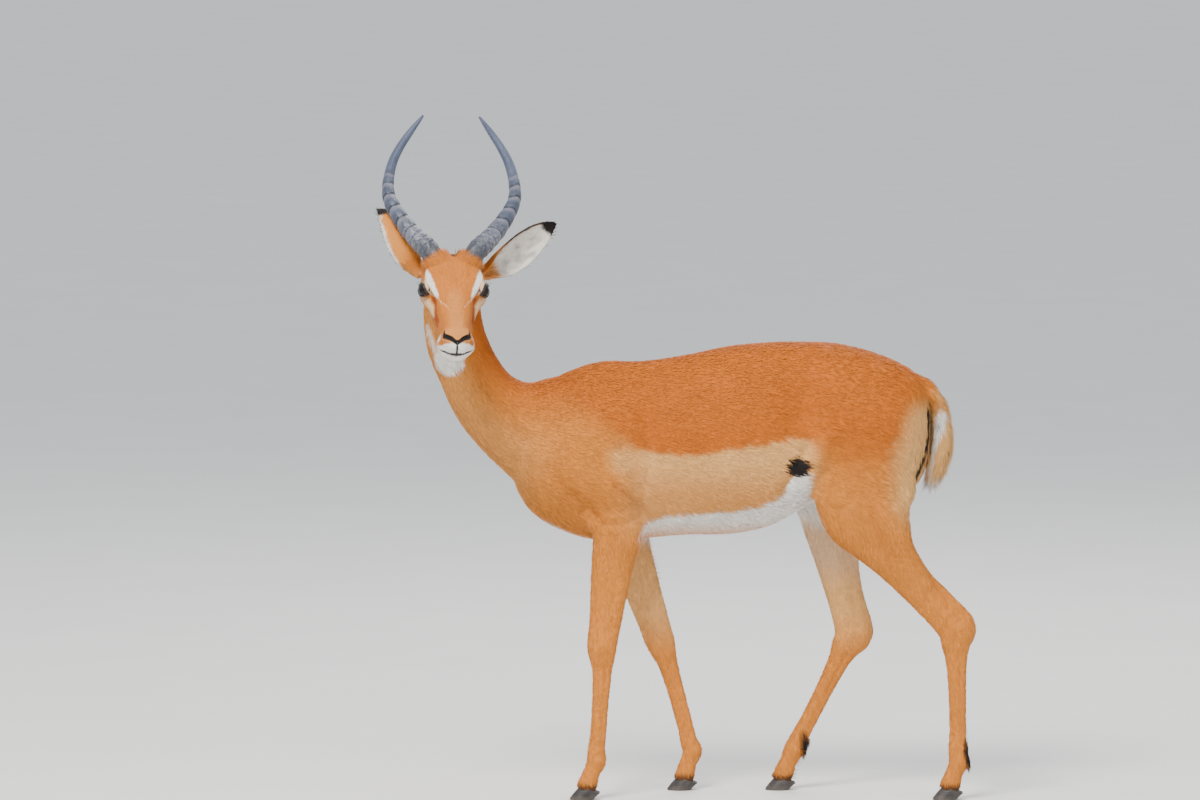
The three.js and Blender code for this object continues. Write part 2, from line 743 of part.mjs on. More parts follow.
// Horns in sockets, eyes in sockets, ears on stubs of the head.
let head = makeHead();
const earPieces = [];
for (const [name, ear] of Object.entries(EARS)) {
  const root = new THREE.Vector3(...ear.base).applyMatrix4(HEAD_FRAME);
  const reach = new THREE.Vector3(...ear.tip);
  const pieces = part(makeEar(ear), root.addScaledVector(reach, EAR_CUT), reach);
  earPieces.push([name, pieces.ahead]);
  head = head.add(pieces.behind);
}
for (const flank of [LEFT, RIGHT]) {
  head = head.subtract(makeHorn(flank, CUT)).subtract(eyeball(flank, EYE_RADIUS + CUT));
}

// All of the flesh joined, then parted again with thin cuts.
let flesh = makeTrunk().add(makeNeck()).add(head);
const feet = [];
for (const side of ['left', 'right']) {
  const fore = ['shoulder', 'elbow', 'knee', 'fetlock', 'toe'];
  const hind = ['hip', 'thigh', 'stifle', 'hock', 'fetlock', 'toe'];
  flesh = flesh.add(makeLeg(FORELEGS[side], fore, FORELEG_BODY));
  flesh = flesh.add(makeLeg(HINDLEGS[side], hind, HINDLEG_BODY));
  feet.push([`foreleg_${side}`, FORELEGS[side].toe], [`hindleg_${side}`, HINDLEGS[side].toe]);
}

// The tail lies in a groove of the rump.
flesh = flesh.subtract(makeTail(CUT));

// The feet end at the coronets, and the claws stand under them.
for (const [name, toe] of feet) {
  const { middle, normal } = coronet(toe);
  const [left, right] = [middle.x - FOOT_ROOM, middle.x + FOOT_ROOM];
  const [low, high] = [-FOOT_ROOM, FOOT_ROOM];
  const block = prism([[left, low], [right, low], [right, high], [left, high]],
    middle.y - FOOT_ROOM, middle.y + FOOT_ROOM);
  flesh = flesh.subtract(block.subtract(beyond(middle, normal)));
  const outer = Math.sign(toe[1]);
  add(`${name}_claw_inner`, makeClaw(toe, -outer), HOOF);
  add(`${name}_claw_outer`, makeClaw(toe, outer), HOOF);
}

let trunk = flesh;
for (const [side, flank] of [['left', LEFT], ['right', RIGHT]]) {
  const kinds = [
    ['foreleg', forelegSpace, FORELEGS[side].knee, FORELEGS[side].fetlock],
    ['hindleg', hindlegSpace, HINDLEGS[side].hock, HINDLEGS[side].fetlock],
  ];
  for (const [kind, space, joint, below] of kinds) {
    const leg = flesh.intersect(space(flank, CUT));
    const middle = new THREE.Vector3(...joint);
    const down = new THREE.Vector3(...below).sub(middle);
    const pieces = part(leg, middle, down);
    add(`${kind}_${side}_upper`, pieces.behind, COAT);
    add(`${kind}_${side}_lower`, pieces.ahead, COAT);
    trunk = trunk.subtract(space(flank, 0));
  }
}

const front = part(trunk, new THREE.Vector3(...NECK_BASE), new THREE.Vector3(...NECK_BASE_WAY));
const crown = part(front.ahead, new THREE.Vector3(...NAPE), new THREE.Vector3(...NAPE_WAY));
add('trunk', front.behind, COAT);
add('neck', crown.behind, COAT);
add('head', crown.ahead, FACE);
add('tail', makeTail(), COAT);
for (const [name, ear] of earPieces) add(name, ear, FACE);
for (const [side, flank] of [['left', LEFT], ['right', RIGHT]]) {
  add(`horn_${side}`, makeHorn(flank), HORN);
  add(`eye_${side}`, eyeball(flank, EYE_RADIUS), EYE);
}

// The origin is on the floor, under the middle of the whole animal.
const bounds = new THREE.Box3().setFromObject(group);
const centre = bounds.getCenter(new THREE.Vector3());
group.position.set(-centre.x, -centre.y, 0);

export default group;
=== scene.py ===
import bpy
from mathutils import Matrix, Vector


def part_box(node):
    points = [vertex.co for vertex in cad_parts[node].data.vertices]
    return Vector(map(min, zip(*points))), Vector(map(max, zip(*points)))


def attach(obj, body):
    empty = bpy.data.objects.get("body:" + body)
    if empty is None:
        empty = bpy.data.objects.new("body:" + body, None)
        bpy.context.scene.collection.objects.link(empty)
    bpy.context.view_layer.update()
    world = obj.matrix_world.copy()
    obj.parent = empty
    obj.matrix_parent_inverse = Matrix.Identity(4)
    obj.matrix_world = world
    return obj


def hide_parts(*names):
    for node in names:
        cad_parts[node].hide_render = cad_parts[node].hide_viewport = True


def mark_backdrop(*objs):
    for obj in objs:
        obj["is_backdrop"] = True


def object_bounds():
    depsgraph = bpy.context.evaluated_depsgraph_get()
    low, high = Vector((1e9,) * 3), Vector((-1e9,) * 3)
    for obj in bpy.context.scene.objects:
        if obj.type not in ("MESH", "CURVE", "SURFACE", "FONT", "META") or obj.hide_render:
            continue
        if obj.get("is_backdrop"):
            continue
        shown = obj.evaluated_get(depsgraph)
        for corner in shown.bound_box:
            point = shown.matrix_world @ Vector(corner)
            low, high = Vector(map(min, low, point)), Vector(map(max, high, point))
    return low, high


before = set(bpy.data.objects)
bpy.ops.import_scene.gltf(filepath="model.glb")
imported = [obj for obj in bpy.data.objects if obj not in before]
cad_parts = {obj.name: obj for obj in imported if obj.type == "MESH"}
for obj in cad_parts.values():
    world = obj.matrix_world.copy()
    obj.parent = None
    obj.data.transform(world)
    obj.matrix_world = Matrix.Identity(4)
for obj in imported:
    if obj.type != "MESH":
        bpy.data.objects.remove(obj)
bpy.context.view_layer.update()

import math

import bmesh
import bpy
import numpy as np
from bpy.props import FloatProperty, FloatVectorProperty, IntProperty, PointerProperty
from mathutils import Vector

bl_info = {
    "name": "Impala ram",
    "version": (1, 0, 0),
    "blender": (4, 5, 0),
    "location": "3D View > Sidebar > Impala",
    "description": "Skin, coat, horns, eyes and hooves of a life-size impala ram",
    "category": "Add Mesh",
}

# ------------------------------------------------------------------ sizes
# Millimetres in the standing frame: +Z up, facing -X, left side -Y, floor at z = 0.

MM = 0.001
LEFT, RIGHT = -1, 1
X, Y, Z = np.eye(3)

TRUNK = [  # x, back, belly, level, half width, upper, lower
    [-372, 790, 640, 712, 42, 2.0, 2.0], [-340, 838, 590, 706, 74, 2.0, 2.0],
    [-280, 872, 551, 700, 92, 1.9, 2.0], [-200, 900, 530, 700, 101, 1.75, 2.3],
    [-110, 902, 534, 700, 106, 1.75, 2.4], [-20, 914, 541, 695, 115, 1.9, 2.3],
    [75, 933, 543, 690, 123, 2.0, 2.2], [155, 940, 560, 695, 121, 2.1, 2.2],
    [225, 941, 598, 715, 112, 2.2, 2.2], [290, 938, 628, 735, 113, 2.1, 2.2],
    [360, 922, 632, 745, 113, 2.0, 2.2], [425, 896, 634, 748, 97, 1.95, 2.2],
    [462, 870, 650, 752, 69, 1.95, 2.1], [484, 836, 700, 765, 32, 2.0, 2.0],
]
NECK = [  # x, y, z, depth, width
    [-215, 0, 725, 290, 150], [-315, 0, 752, 246, 146], [-384, 0, 781, 178, 116],
    [-432, -1, 823, 147, 98], [-466, -3, 880, 131, 92], [-490, -4, 936, 128, 96],
    [-500, -4, 990, 122, 102], [-500, -3, 1040, 115, 102], [-498, -18, 1078, 98, 90],
    [-497, -42, 1096, 66, 62],
]
TAIL = [
    [452, 0, 862, 32, 34], [482, 0, 848, 30, 34], [499, 0, 815, 31, 36], [508, -1, 770, 37, 40],
    [509, -3, 730, 39, 44], [502, -5, 692, 34, 40], [492, -7, 662, 24, 30], [483, -8, 640, 6, 8],
]
HEAD = [  # y, top, bottom, level, half width, upper, lower, in the head's frame
    [-64, -80, -122, -100, 22, 2.0, 2.0], [-50, -56, -131, -92, 44, 2.0, 2.0],
    [-28, -30, -134, -76, 55, 2.1, 2.2], [-8, -7, -132, -62, 59, 2.3, 2.3],
    [20, 3, -127, -50, 61, 2.5, 2.4], [50, 4, -118, -44, 61, 2.6, 2.4],
    [80, 0, -106, -44, 56, 2.5, 2.3], [110, -5, -95, -48, 47, 2.3, 2.2],
    [145, -7, -84, -50, 38, 2.2, 2.2], [178, -5, -79, -46, 32, 2.2, 2.2],
    [203, -3, -79, -43, 30, 2.3, 2.3], [220, -5, -79, -40, 29, 2.4, 2.4],
    [231, -11, -72, -38, 24, 2.3, 2.3], [239, -22, -56, -36, 12, 2.0, 2.0],
]
HEAD_PITCH, HEAD_YAW, HEAD_ROLL = 42, 4, 1.5
EYE_PLACE = np.array([55, 73, -29])  # of the right eye, in the head's frame
EYE_RADIUS = 17
# Bulges and hollows, mirrored: place, reach, push.
SWELLINGS = [
    ([-215, 100, 720], [75, 60, 110], [0, 10, 0]),  # shoulder blade
    ([-265, 85, 640], [48, 50, 62], [-3, 13, 0]),  # point of the shoulder
    ([-150, 90, 640], [60, 50, 60], [0, 10, 0]),  # upper arm
    ([-90, 110, 740], [42, 60, 90], [0, -7, 0]),  # behind the shoulder
    ([60, 125, 690], [130, 60, 90], [0, 4, 0]),  # ribs
    ([222, 110, 800], [46, 60, 70], [0, -15, 0]),  # hollow of the flank
    ([350, 110, 800], [90, 60, 70], [0, 5, 0]),  # rump
    ([285, 95, 885], [42, 50, 34], [0, 6, 4]),  # point of the hip
]
FEATURES = [
    ([40, 0, 2], [22, 24, 20], [6, -6, 13]),  # horn root
    ([57, 67, -9], [20, 27, 16], [12, 0, 4]),  # brow over the eye
    ([60, 76, -52], [20, 30, 16], [11, 0, 0]),  # cheek bone
    ([36, 112, -30], [18, 20, 16], [-5, 0, 0]),  # hollow before the eye
    ([50, 24, -88], [22, 46, 30], [5, 0, 0]),  # jaw muscle
    ([24, 216, -24], [12, 13, 13], [3.5, 1, 3]),  # nostril wing
    ([27, 208, -52], [16, 22, 13], [11, 0, 0]),  # upper lip
    ([0, 218, -72], [20, 14, 12], [0, 2, -2]),  # chin
]
HORN_LINE = [  # half spread, behind the brow, over the brow, radius
    [30, 4, -20, 22], [50, 20, 8, 23], [68, 33, 24, 21.5], [87, 49, 43, 19.5],
    [105, 68, 65, 17.6], [118, 85, 84, 16], [128, 104, 104, 14.6], [131, 125, 126, 13.2],
    [128, 148, 151, 12], [119, 171, 181, 10.7], [103, 188, 211, 9.3], [82, 199, 241, 7.3],
    [58, 204, 273, 2.5],
]
EARS = {  # base in the head's frame; tip and open side in the standing frame
    LEFT: ([-60, -20, -84], [158, 13, 107], [0.1, -0.93, -0.34]),
    RIGHT: ([59, -20, -84], [-94, 67, 131], [-0.6, 0.62, -0.46]),
}
EAR_BODY = [  # along, radius of the cup, half angle, wall
    [0.0, 12, 178, 11.8], [0.1, 17, 155, 8], [0.25, 27, 112, 4.2], [0.42, 34, 88, 3.6],
    [0.6, 37, 72, 3.4], [0.78, 32, 62, 3.3], [0.92, 20, 55, 3.2], [1.0, 6.5, 50, 3.0],
]
EAR_BOW = 9
# A foreleg's joints are shoulder, elbow, knee, fetlock and toe. A hindleg's are hip, thigh,
# stifle, hock, fetlock and toe.
LEGS = {
    ("fore", LEFT): [[-214, -60, 735], [-160, -68, 556], [-188, -74, 316], [-205, -76, 80],
                     [-222, -77, 30]],
    ("fore", RIGHT): [[-209, 60, 735], [-150, 68, 548], [-68, 74, 312], [-6, 76, 82],
                      [-20, 77, 30]],
    ("hind", LEFT): [[375, -44, 830], [338, -61, 715], [345, -80, 590], [536, -78, 354],
                     [541, -78, 78], [526, -78, 30]],
    ("hind", RIGHT): [[360, 44, 830], [332, 61, 715], [286, 80, 596], [328, 80, 326],
                      [204, 80, 82], [184, 80, 30]],
}
FORE_BODY = [  # joint, share of the way to the next, depth, width, rearward
    [0, 0.0, 120, 36, 0], [0, 0.45, 136, 60, 0], [0, 0.75, 128, 66, 0], [1, 0.0, 112, 64, 0],
    [1, 0.22, 93, 56, -2], [1, 0.5, 80, 47, -3], [1, 0.78, 69, 42, -3], [1, 0.93, 65, 43, -4],
    [2, 0.0, 64, 45, -4], [2, 0.1, 55, 40, -2], [2, 0.22, 43, 32, 0], [2, 0.5, 37, 28, 1],
    [2, 0.78, 36, 28, 1], [2, 0.93, 39, 33, 0], [3, 0.0, 43, 37, 2], [3, 0.45, 37, 35, 0],
    [3, 0.85, 42, 42, 0], [3, 1.25, 44, 44, 0],
]
HIND_BODY = [
    [0, 0.0, 110, 30, 0], [0, 0.5, 180, 62, 0], [1, 0.0, 226, 94, 0], [1, 0.5, 222, 94, 5],
    [2, 0.0, 198, 86, 13], [2, 0.2, 142, 73, -1], [2, 0.4, 98, 60, -8], [2, 0.6, 82, 50, -6],
    [2, 0.8, 78, 44, 0], [2, 0.93, 81, 44, 4], [3, 0.0, 80, 47, 3], [3, 0.1, 66, 45, 0],
    [3, 0.22, 48, 36, 0], [3, 0.45, 39, 30, 1], [3, 0.75, 37, 30, 1], [3, 0.92, 40, 34, 0],
    [4, 0.0, 44, 38, 2], [4, 0.45, 37, 35, 0], [4, 0.85, 43, 42, 0], [4, 1.25, 45, 44, 0],
]
TURN_IN = (540, 690, 0.0021)

# ------------------------------------------------------------------ curves and surfaces


def unit(v):
    return v / np.maximum(np.linalg.norm(v, axis=-1, keepdims=True), 1e-12)


def smooth(low, high, value):
    """0 below low, 1 above high, and the cubic 3t^2 - 2t^3 between; low may exceed high."""
    t = np.clip((value - low) / (high - low), 0, 1)
    return t * t * (3 - 2 * t)


def cubic(a, b, slope_a, slope_b, t):
    """Hermite cubic from a to b with the given slopes, for t from 0 to 1."""
    return ((2 * t**3 - 3 * t**2 + 1) * a + (t**3 - 2 * t**2 + t) * slope_a
            + (3 * t**2 - 2 * t**3) * b + (t**3 - t**2) * slope_b)


def columns(table, at):
    """Cubics through the rows of a table by its first column. The slope at a row is the
    straight slope between its neighbours, and the ends don't bend."""
    table = np.asarray(table, float)
    place, value = table[:, 0], table[:, 1:]
    step = np.diff(place)[:, None]
    rise = np.diff(value, axis=0) / step
    slope = np.empty_like(value)
    slope[1:-1] = (value[2:] - value[:-2]) / (place[2:] - place[:-2])[:, None]
    slope[0] = (3 * rise[0] - slope[1]) / 2
    slope[-1] = (3 * rise[-1] - slope[-2]) / 2
    at = np.clip(np.asarray(at, float), place[0], place[-1])
    i = np.clip(np.searchsorted(place, at, side="right") - 1, 0, len(place) - 2)
    t = ((at - place[i]) / step[i, 0])[:, None]
    return cubic(value[i], value[i + 1], slope[i] * step[i], slope[i + 1] * step[i], t)


def line(points, at):
    """Centripetal curve through points, with equal steps of at from point to point."""
    points = np.asarray(points, float)
    p = np.vstack([2 * points[0] - points[1], points, 2 * points[-1] - points[-2]])
    s = np.clip(np.asarray(at, float), 0, 1) * (len(points) - 1)
    i = np.minimum(s.astype(int), len(points) - 2)
    a, b, c, d = p[i], p[i + 1], p[i + 2], p[i + 3]
    ab, bc, cd = (np.sqrt(np.linalg.norm(v, axis=1))[:, None] for v in (b - a, c - b, d - c))
    slope_b = ((b - a) / ab - (c - a) / (ab + bc) + (c - b) / bc) * bc
    slope_c = ((c - b) / bc - (d - b) / (bc + cd) + (d - c) / cd) * bc
    return cubic(b, c, slope_b, slope_c, (s - i)[:, None])


def tangents(centres):
    return unit(np.gradient(centres, axis=0))


def ovals(centre, side, up, half, rise, drop, count, upper=2.0, lower=2.0):
    """Rings of a lame oval: half * |cos|^(2/n) to the side, and rise or drop times
    |sin|^(2/n) along up, where n is upper for the top half and lower for the bottom."""
    turn = np.arange(count) / count * 2 * np.pi
    c, s = np.cos(turn), np.sin(turn)
    half, rise, drop, upper, lower = (
        np.broadcast_to(np.asarray(v, float), len(centre))[:, None]
        for v in (half, rise, drop, upper, lower))
    power = 2 / np.where(s > 0, upper, lower)
    along = half * np.sign(c) * np.abs(c) ** power
    height = np.where(s > 0, rise, drop) * np.sign(s) * np.abs(s) ** power
    return centre[:, None] + along[..., None] * side[:, None] + height[..., None] * up[:, None]


def sweep(rows, spans, count, side=Y):
    """Oval rings along the curve through rows of x, y, z, depth, width. Each ring stands
    square to the curve, with its width as near to side as that allows."""
    rows = np.asarray(rows, float)
    at = np.linspace(0, 1, spans + 1)
    centre = line(rows[:, :3], at)
    ahead = tangents(centre)
    index = np.arange(len(rows), dtype=float)[:, None]
    depth, width = columns(np.hstack([index, rows[:, 3:5]]), at * (len(rows) - 1)).T
    across = unit(side - (ahead @ side)[:, None] * ahead)
    up = unit(np.cross(across, ahead))
    return ovals(centre, across, up, width / 2, depth / 2, depth / 2, count)


def loft(rings):
    """Points and triangles of a closed skin over equal rings, with a pole at each end."""
    n, count = rings.shape[:2]
    points = np.vstack([rings.reshape(-1, 3), rings[0].mean(0), rings[-1].mean(0)])
    a = (np.arange(n - 1)[:, None] * count + np.arange(count)).ravel()
    b = (np.arange(n - 1)[:, None] * count + (np.arange(count) + 1) % count).ravel()
    i, j = np.arange(count), (np.arange(count) + 1) % count
    first, last, end = np.full(count, n * count), np.full(count, n * count + 1), (n - 1) * count
    faces = np.vstack([
        np.stack([a, b, b + count], 1), np.stack([a, b + count, a + count], 1),
        np.stack([first, j, i], 1), np.stack([last, end + i, end + j], 1)])
    return outward(points, faces)


def outward(points, faces):
    """Turns all the faces round if the closed shape's volume comes out negative."""
    a, b, c = (points[faces[:, k]] for k in range(3))
    return points, faces if (np.cross(a, b) * c).sum() > 0 else faces[:, ::-1]


def bulge(points, features):
    """Adds each feature's push times exp(-|distance / reach|^2), on both sides of x or y
    whichever is the mirrored axis of the list."""
    out = points.copy()
    for at, reach, push, mirror in features:
        share = np.exp(-(((points - at) / reach) ** 2).sum(-1))[..., None]
        out += share * push
        if at[mirror]:
            flip = np.ones(3)
            flip[mirror] = -1
            share = np.exp(-(((points - np.array(at) * flip) / reach) ** 2).sum(-1))[..., None]
            out += share * (np.array(push) * flip)
    return out


def joined(shapes):
    """One list of points and one of triangles out of many."""
    starts = np.cumsum([0] + [len(p) for p, _ in shapes[:-1]])
    return (np.vstack([p for p, _ in shapes]),
            np.vstack([f + start for (_, f), start in zip(shapes, starts)]))


# ------------------------------------------------------------------ places


def head_axes():
    """The head's right, forward and up, and its level and sideways directions."""
    yaw, pitch, roll = np.radians([HEAD_YAW, HEAD_PITCH, HEAD_ROLL])
    level = np.array([math.sin(yaw), -math.cos(yaw), 0])
    across = np.cross(level, Z)
    forward = level * math.cos(pitch) - Z * math.sin(pitch)
    rise = level * math.sin(pitch) + Z * math.cos(pitch)
    right = across * math.cos(roll) + rise * math.sin(roll)
    up = rise * math.cos(roll) - across * math.sin(roll)
    return right, forward, up, level, across


HEAD_RIGHT, HEAD_FORWARD, HEAD_UP, HEAD_LEVEL, HEAD_ACROSS = head_axes()
HEAD_AXES = np.stack([HEAD_RIGHT, HEAD_FORWARD, HEAD_UP])
BROW = np.array([-496.5, -100, 1127.0])


def frame_shift():
    """Where the standing frame's origin lies in the row's frame, read off the eyes."""
    middle = np.mean([corner for side in ("eye_left", "eye_right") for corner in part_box(side)], 0)
    eyes = BROW + np.array([0, EYE_PLACE[1], EYE_PLACE[2]]) @ HEAD_AXES
    return np.array(middle) / MM - eyes


SHIFT = frame_shift()


def from_head(points):
    return BROW + np.asarray(points, float) @ HEAD_AXES


def to_head(points):
    return (points - BROW) @ HEAD_AXES.T


def about_brow(spread, back, height):
    """A place by its spread to the side, distance behind the brow and height over it."""
    tilt = math.radians(HEAD_ROLL)
    across = HEAD_ACROSS * math.cos(tilt) + Z * math.sin(tilt)
    upright = Z * math.cos(tilt) - HEAD_ACROSS * math.sin(tilt)
    return (BROW + np.multiply.outer(spread, across) - np.multiply.outer(back, HEAD_LEVEL)
            + np.multiply.outer(height, upright))


# ------------------------------------------------------------------ body forms


def trunk_form():
    x = np.linspace(TRUNK[0][0], TRUNK[-1][0], 180)
    back, belly, level, half, upper, lower = columns(TRUNK, x).T
    centre = np.stack([x, 0 * x, level], 1)
    side, up = np.tile(Y, (len(x), 1)), np.tile(Z, (len(x), 1))
    rings = ovals(centre, side, up, half, back - level, level - belly, 120, upper, lower)
    return loft(bulge(rings, [(*row, 1) for row in SWELLINGS]))


def head_form():
    y = np.linspace(HEAD[0][0], HEAD[-1][0], 120)
    top, bottom, level, half, upper, lower = columns(HEAD, y).T
    centre = np.stack([0 * y, y, level], 1)
    side, up = np.tile(X, (len(y), 1)), np.tile(Z, (len(y), 1))
    rings = ovals(centre, side, up, half, top - level, level - bottom, 96, upper, lower)
    return loft(from_head(bulge(rings, [(*row, 0) for row in FEATURES])))


def leg_rows(kind, flank):
    joints = np.array(LEGS[kind, flank], float)
    body = FORE_BODY if kind == "fore" else HIND_BODY
    rows = []
    for joint, share, depth, width, rearward in body:
        following = joints[min(joint + 1, len(joints) - 1)]
        place = joints[joint] + (following - joints[joint]) * share
        rows.append([place[0] + rearward, place[1], place[2], depth, width])
    return rows


def leg_form(kind, flank):
    rows = leg_rows(kind, flank)
    rings = sweep(rows, len(rows) * 9, 48)
    if kind == "hind":
        low, high, amount = TURN_IN
        behind = np.maximum(rings[..., 0] - rings[..., 0].mean(1, keepdims=True), 0)
        rings[..., 1] -= flank * amount * behind**2 * smooth(low, high, rings[..., 2])
    return loft(rings)


def ear_rings(flank, rows=70, arc=26):
    """Rings of a cup: an outer arc of the given radius and half angle, and back along an
    inner arc that is smaller by the wall."""
    base, tip, open_side = EARS[flank]
    root, reach = from_head(base), np.array(tip, float)
    ahead = unit(reach)
    mouth = unit(np.array(open_side) - ahead @ open_side * ahead)
    side = unit(np.cross(ahead, mouth))
    hang = -side if side[2] > 0 else side
    place = np.linspace(0, 1, rows)
    radius, half, wall = columns(EAR_BODY, place).T
    centre = root + place[:, None] * reach + EAR_BOW * np.sin(place * np.pi)[:, None] * hang
    turn = np.linspace(-1, 1, arc)
    outer = np.radians(half)[:, None] * turn
    inner = np.radians(half * 0.97)[:, None] * turn[::-1]
    angle = np.hstack([outer, inner])
    size = np.hstack([np.repeat(radius[:, None], arc, 1), np.repeat((radius - wall)[:, None], arc, 1)])
    rings = (centre[:, None] + (np.sin(angle) * size)[..., None] * side
             - (np.cos(angle) * size)[..., None] * mouth)
    return rings, centre, side, mouth, ahead


# ------------------------------------------------------------------ meshes


def fill_mesh(name, points, faces, smooth_faces=True):
    """A mesh in metres in the row's frame, from points in the standing frame's millimetres."""
    mesh = bpy.data.meshes.new(name)
    faces = np.asarray(faces, np.int32)
    sides = faces.shape[1]
    mesh.vertices.add(len(points))
    mesh.vertices.foreach_set("co", ((points + SHIFT) * MM).astype(np.float32).ravel())
    mesh.loops.add(faces.size)
    mesh.loops.foreach_set("vertex_index", faces.ravel())
    mesh.polygons.add(len(faces))
    mesh.polygons.foreach_set("loop_start", np.arange(0, faces.size, sides, dtype=np.int32))
    mesh.update(calc_edges=True)
    mesh.polygons.foreach_set("use_smooth", np.full(len(faces), smooth_faces))
    return mesh


def new_piece(name, mesh, material):
    """Adds a finished piece that rides on the body."""
    mesh.name = name
    piece = bpy.data.objects.new(name, mesh)
    bpy.context.scene.collection.objects.link(piece)
    mesh.materials.clear()
    mesh.materials.append(material)
    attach(piece, "root")
    return piece


def read_points(mesh):
    flat = np.empty(len(mesh.vertices) * 3, np.float32)
    mesh.vertices.foreach_get("co", flat)
    return flat.reshape(-1, 3).astype(float) / MM - SHIFT


def write_points(mesh, points):
    mesh.vertices.foreach_set("co", ((points + SHIFT) * MM).astype(np.float32).ravel())
    mesh.update()


def read_edges(mesh):
    flat = np.empty(len(mesh.edges) * 2, np.int32)
    mesh.edges.foreach_get("vertices", flat)
    return flat.reshape(-1, 2)


def read_normals(mesh):
    flat = np.empty(len(mesh.vertices) * 3, np.float32)
    mesh.vertices.foreach_get("normal", flat)
    return flat.reshape(-1, 3).astype(float)


def put_attribute(mesh, name, values, domain="POINT"):
    """A float or colour attribute, by the number of columns in values."""
    values = np.asarray(values, np.float32)
    kind, field = ("FLOAT", "value") if values.ndim == 1 else ("FLOAT_COLOR", "color")
    layer = mesh.attributes.new(name, kind, domain)
    layer.data.foreach_set(field, values.ravel())


def finished(obj, **settings):
    """The mesh of obj with one modifier of the given kind applied."""
    modifier = obj.modifiers.new("finish", settings.pop("kind"))
    for name, value in settings.items():
        setattr(modifier, name, value)
    graph = bpy.context.evaluated_depsgraph_get()
    mesh = bpy.data.meshes.new_from_object(obj.evaluated_get(graph))
    obj.modifiers.clear()
    return mesh


def relax(points, edges, amount, rounds):
    """Moves each point by its amount towards the mean of its neighbours, in rounds."""
    a, b = edges.T
    n = len(points)
    count = np.bincount(edges.ravel(), minlength=n)[:, None]
    amount = np.broadcast_to(amount, n)[:, None]
    for _ in range(rounds):
        total = np.stack([np.bincount(a, points[b, k], n) + np.bincount(b, points[a, k], n)
                          for k in range(3)], 1)
        points = points + amount * (total / count - points)
    return points


def to_path(points, path):
    """Distance of each point from a path, and how far along it the nearest place is."""
    path = np.asarray(path, float)
    best = np.full(len(points), 1e9)
    along = np.zeros(len(points))
    start = 0.0
    for a, b in zip(path[:-1], path[1:]):
        d = b - a
        length = np.linalg.norm(d)
        t = np.clip((points - a) @ d / length**2, 0, 1)
        gap = np.linalg.norm(points - a - t[:, None] * d, axis=1)
        nearer = gap < best
        best[nearer] = gap[nearer]
        along[nearer] = start + t[nearer] * length
        start += length
    return best, along / start


def mirrored(points, flank):
    """A path of the head's right side, on the wanted side."""
    return np.asarray(points, float) * [flank, 1, 1]


# ------------------------------------------------------------------ skin

NAPE, NAPE_WAY = np.array([-498, -5, 1059]), np.array([0, -0.71, 0.7])
FLESH = ["trunk", "neck", "head", "tail", "ear_left", "ear_right"] + [
    f"{kind}leg_{side}_{part}" for kind in ("fore", "hind")
    for side in ("left", "right") for part in ("upper", "lower")]
NOSTRIL = [[25.5, 200, -17], [26.5, 209, -16], [25, 217, -15], [19, 222, -12.5], [12, 226, -11.5],
           [6, 231, -13], [0, 234, -16]]
NOSTRIL_WIDTH = [0, 0.22, 0.42, 0.6, 0.8, 1], [1.6, 3.2, 5.2, 4.6, 3.4, 3.2]
NOSTRIL_DEPTH = [0, 0.22, 0.42, 0.6, 0.8, 1], [1.2, 2.6, 3.6, 3.0, 1.6, 1.2]
PHILTRUM = [[0, 232, -13], [0, 238, -20], [0, 240, -30], [0, 240, -44]]
MOUTH = [[0, 240, -44.5], [10, 239, -44], [22, 233, -44.5], [33, 221, -48], [38, 205, -54],
         [37, 185, -58], [33, 165, -60], [31, 150, -58]]
LIPS = [([13, 236, -31], 11, 2.4), ([0, 235, -57], 12, 1.6), ([30, 222, -38], 11, 1.4)]
EYE_OUT = unit(np.array([0.86, 0.42, 0.28]))  # the way the right eye looks, in the head's frame
EYE_LONG = np.array([-0.39, 0.87, 0.24])  # from its rear corner to its front corner
LID_LONG, LID_HIGH, LID_POWER = 62, 45, 1.7  # half sizes of the opening in degrees


def head_part(points):
    """1 on the head and ears, 0 on the rest, across the plane of the nape."""
    return smooth(-4, 8, (points - NAPE) @ NAPE_WAY)


def neck_part(points):
    """1 on the neck and beyond it, 0 on the trunk, across the plane before the shoulders."""
    return smooth(-60, 50, (points - [-305, 0, 752]) @ [-0.92, 0, 0.4])


def ear_part(points):
    """1 on the ears beyond their roots."""
    part = np.zeros(len(points))
    for flank in EARS:
        _, centre, _, _, _ = ear_rings(flank)
        gap, along = to_path(points, centre[::6])
        part = np.maximum(part, smooth(0.14, 0.28, along) * (gap < 48))
    return part


def eye_frame(flank):
    """Centre of an eye with its outward, long and high directions, in the head's frame."""
    out = mirrored(EYE_OUT, flank)
    long = mirrored(EYE_LONG, flank)
    long = unit(long - out @ long * out)
    high = np.cross(long, out) * flank
    return mirrored(EYE_PLACE, flank), out, long, high * np.sign(high[2])


def lid_angles(head, flank):
    """Polar place about an eye: radius, degrees along the lids and across, and how far out
    of the opening that is, where 1 is the lids' edge."""
    centre, out, long, high = eye_frame(flank)
    e = head - centre
    along = np.degrees(np.arctan2(e @ long, e @ out))
    across = np.degrees(np.arctan2(e @ high, e @ out))
    span = (np.abs(along / LID_LONG) ** LID_POWER
            + np.abs(across / LID_HIGH) ** LID_POWER) ** (1 / LID_POWER)
    return np.linalg.norm(e, axis=1), along, across, span, e @ out > 0


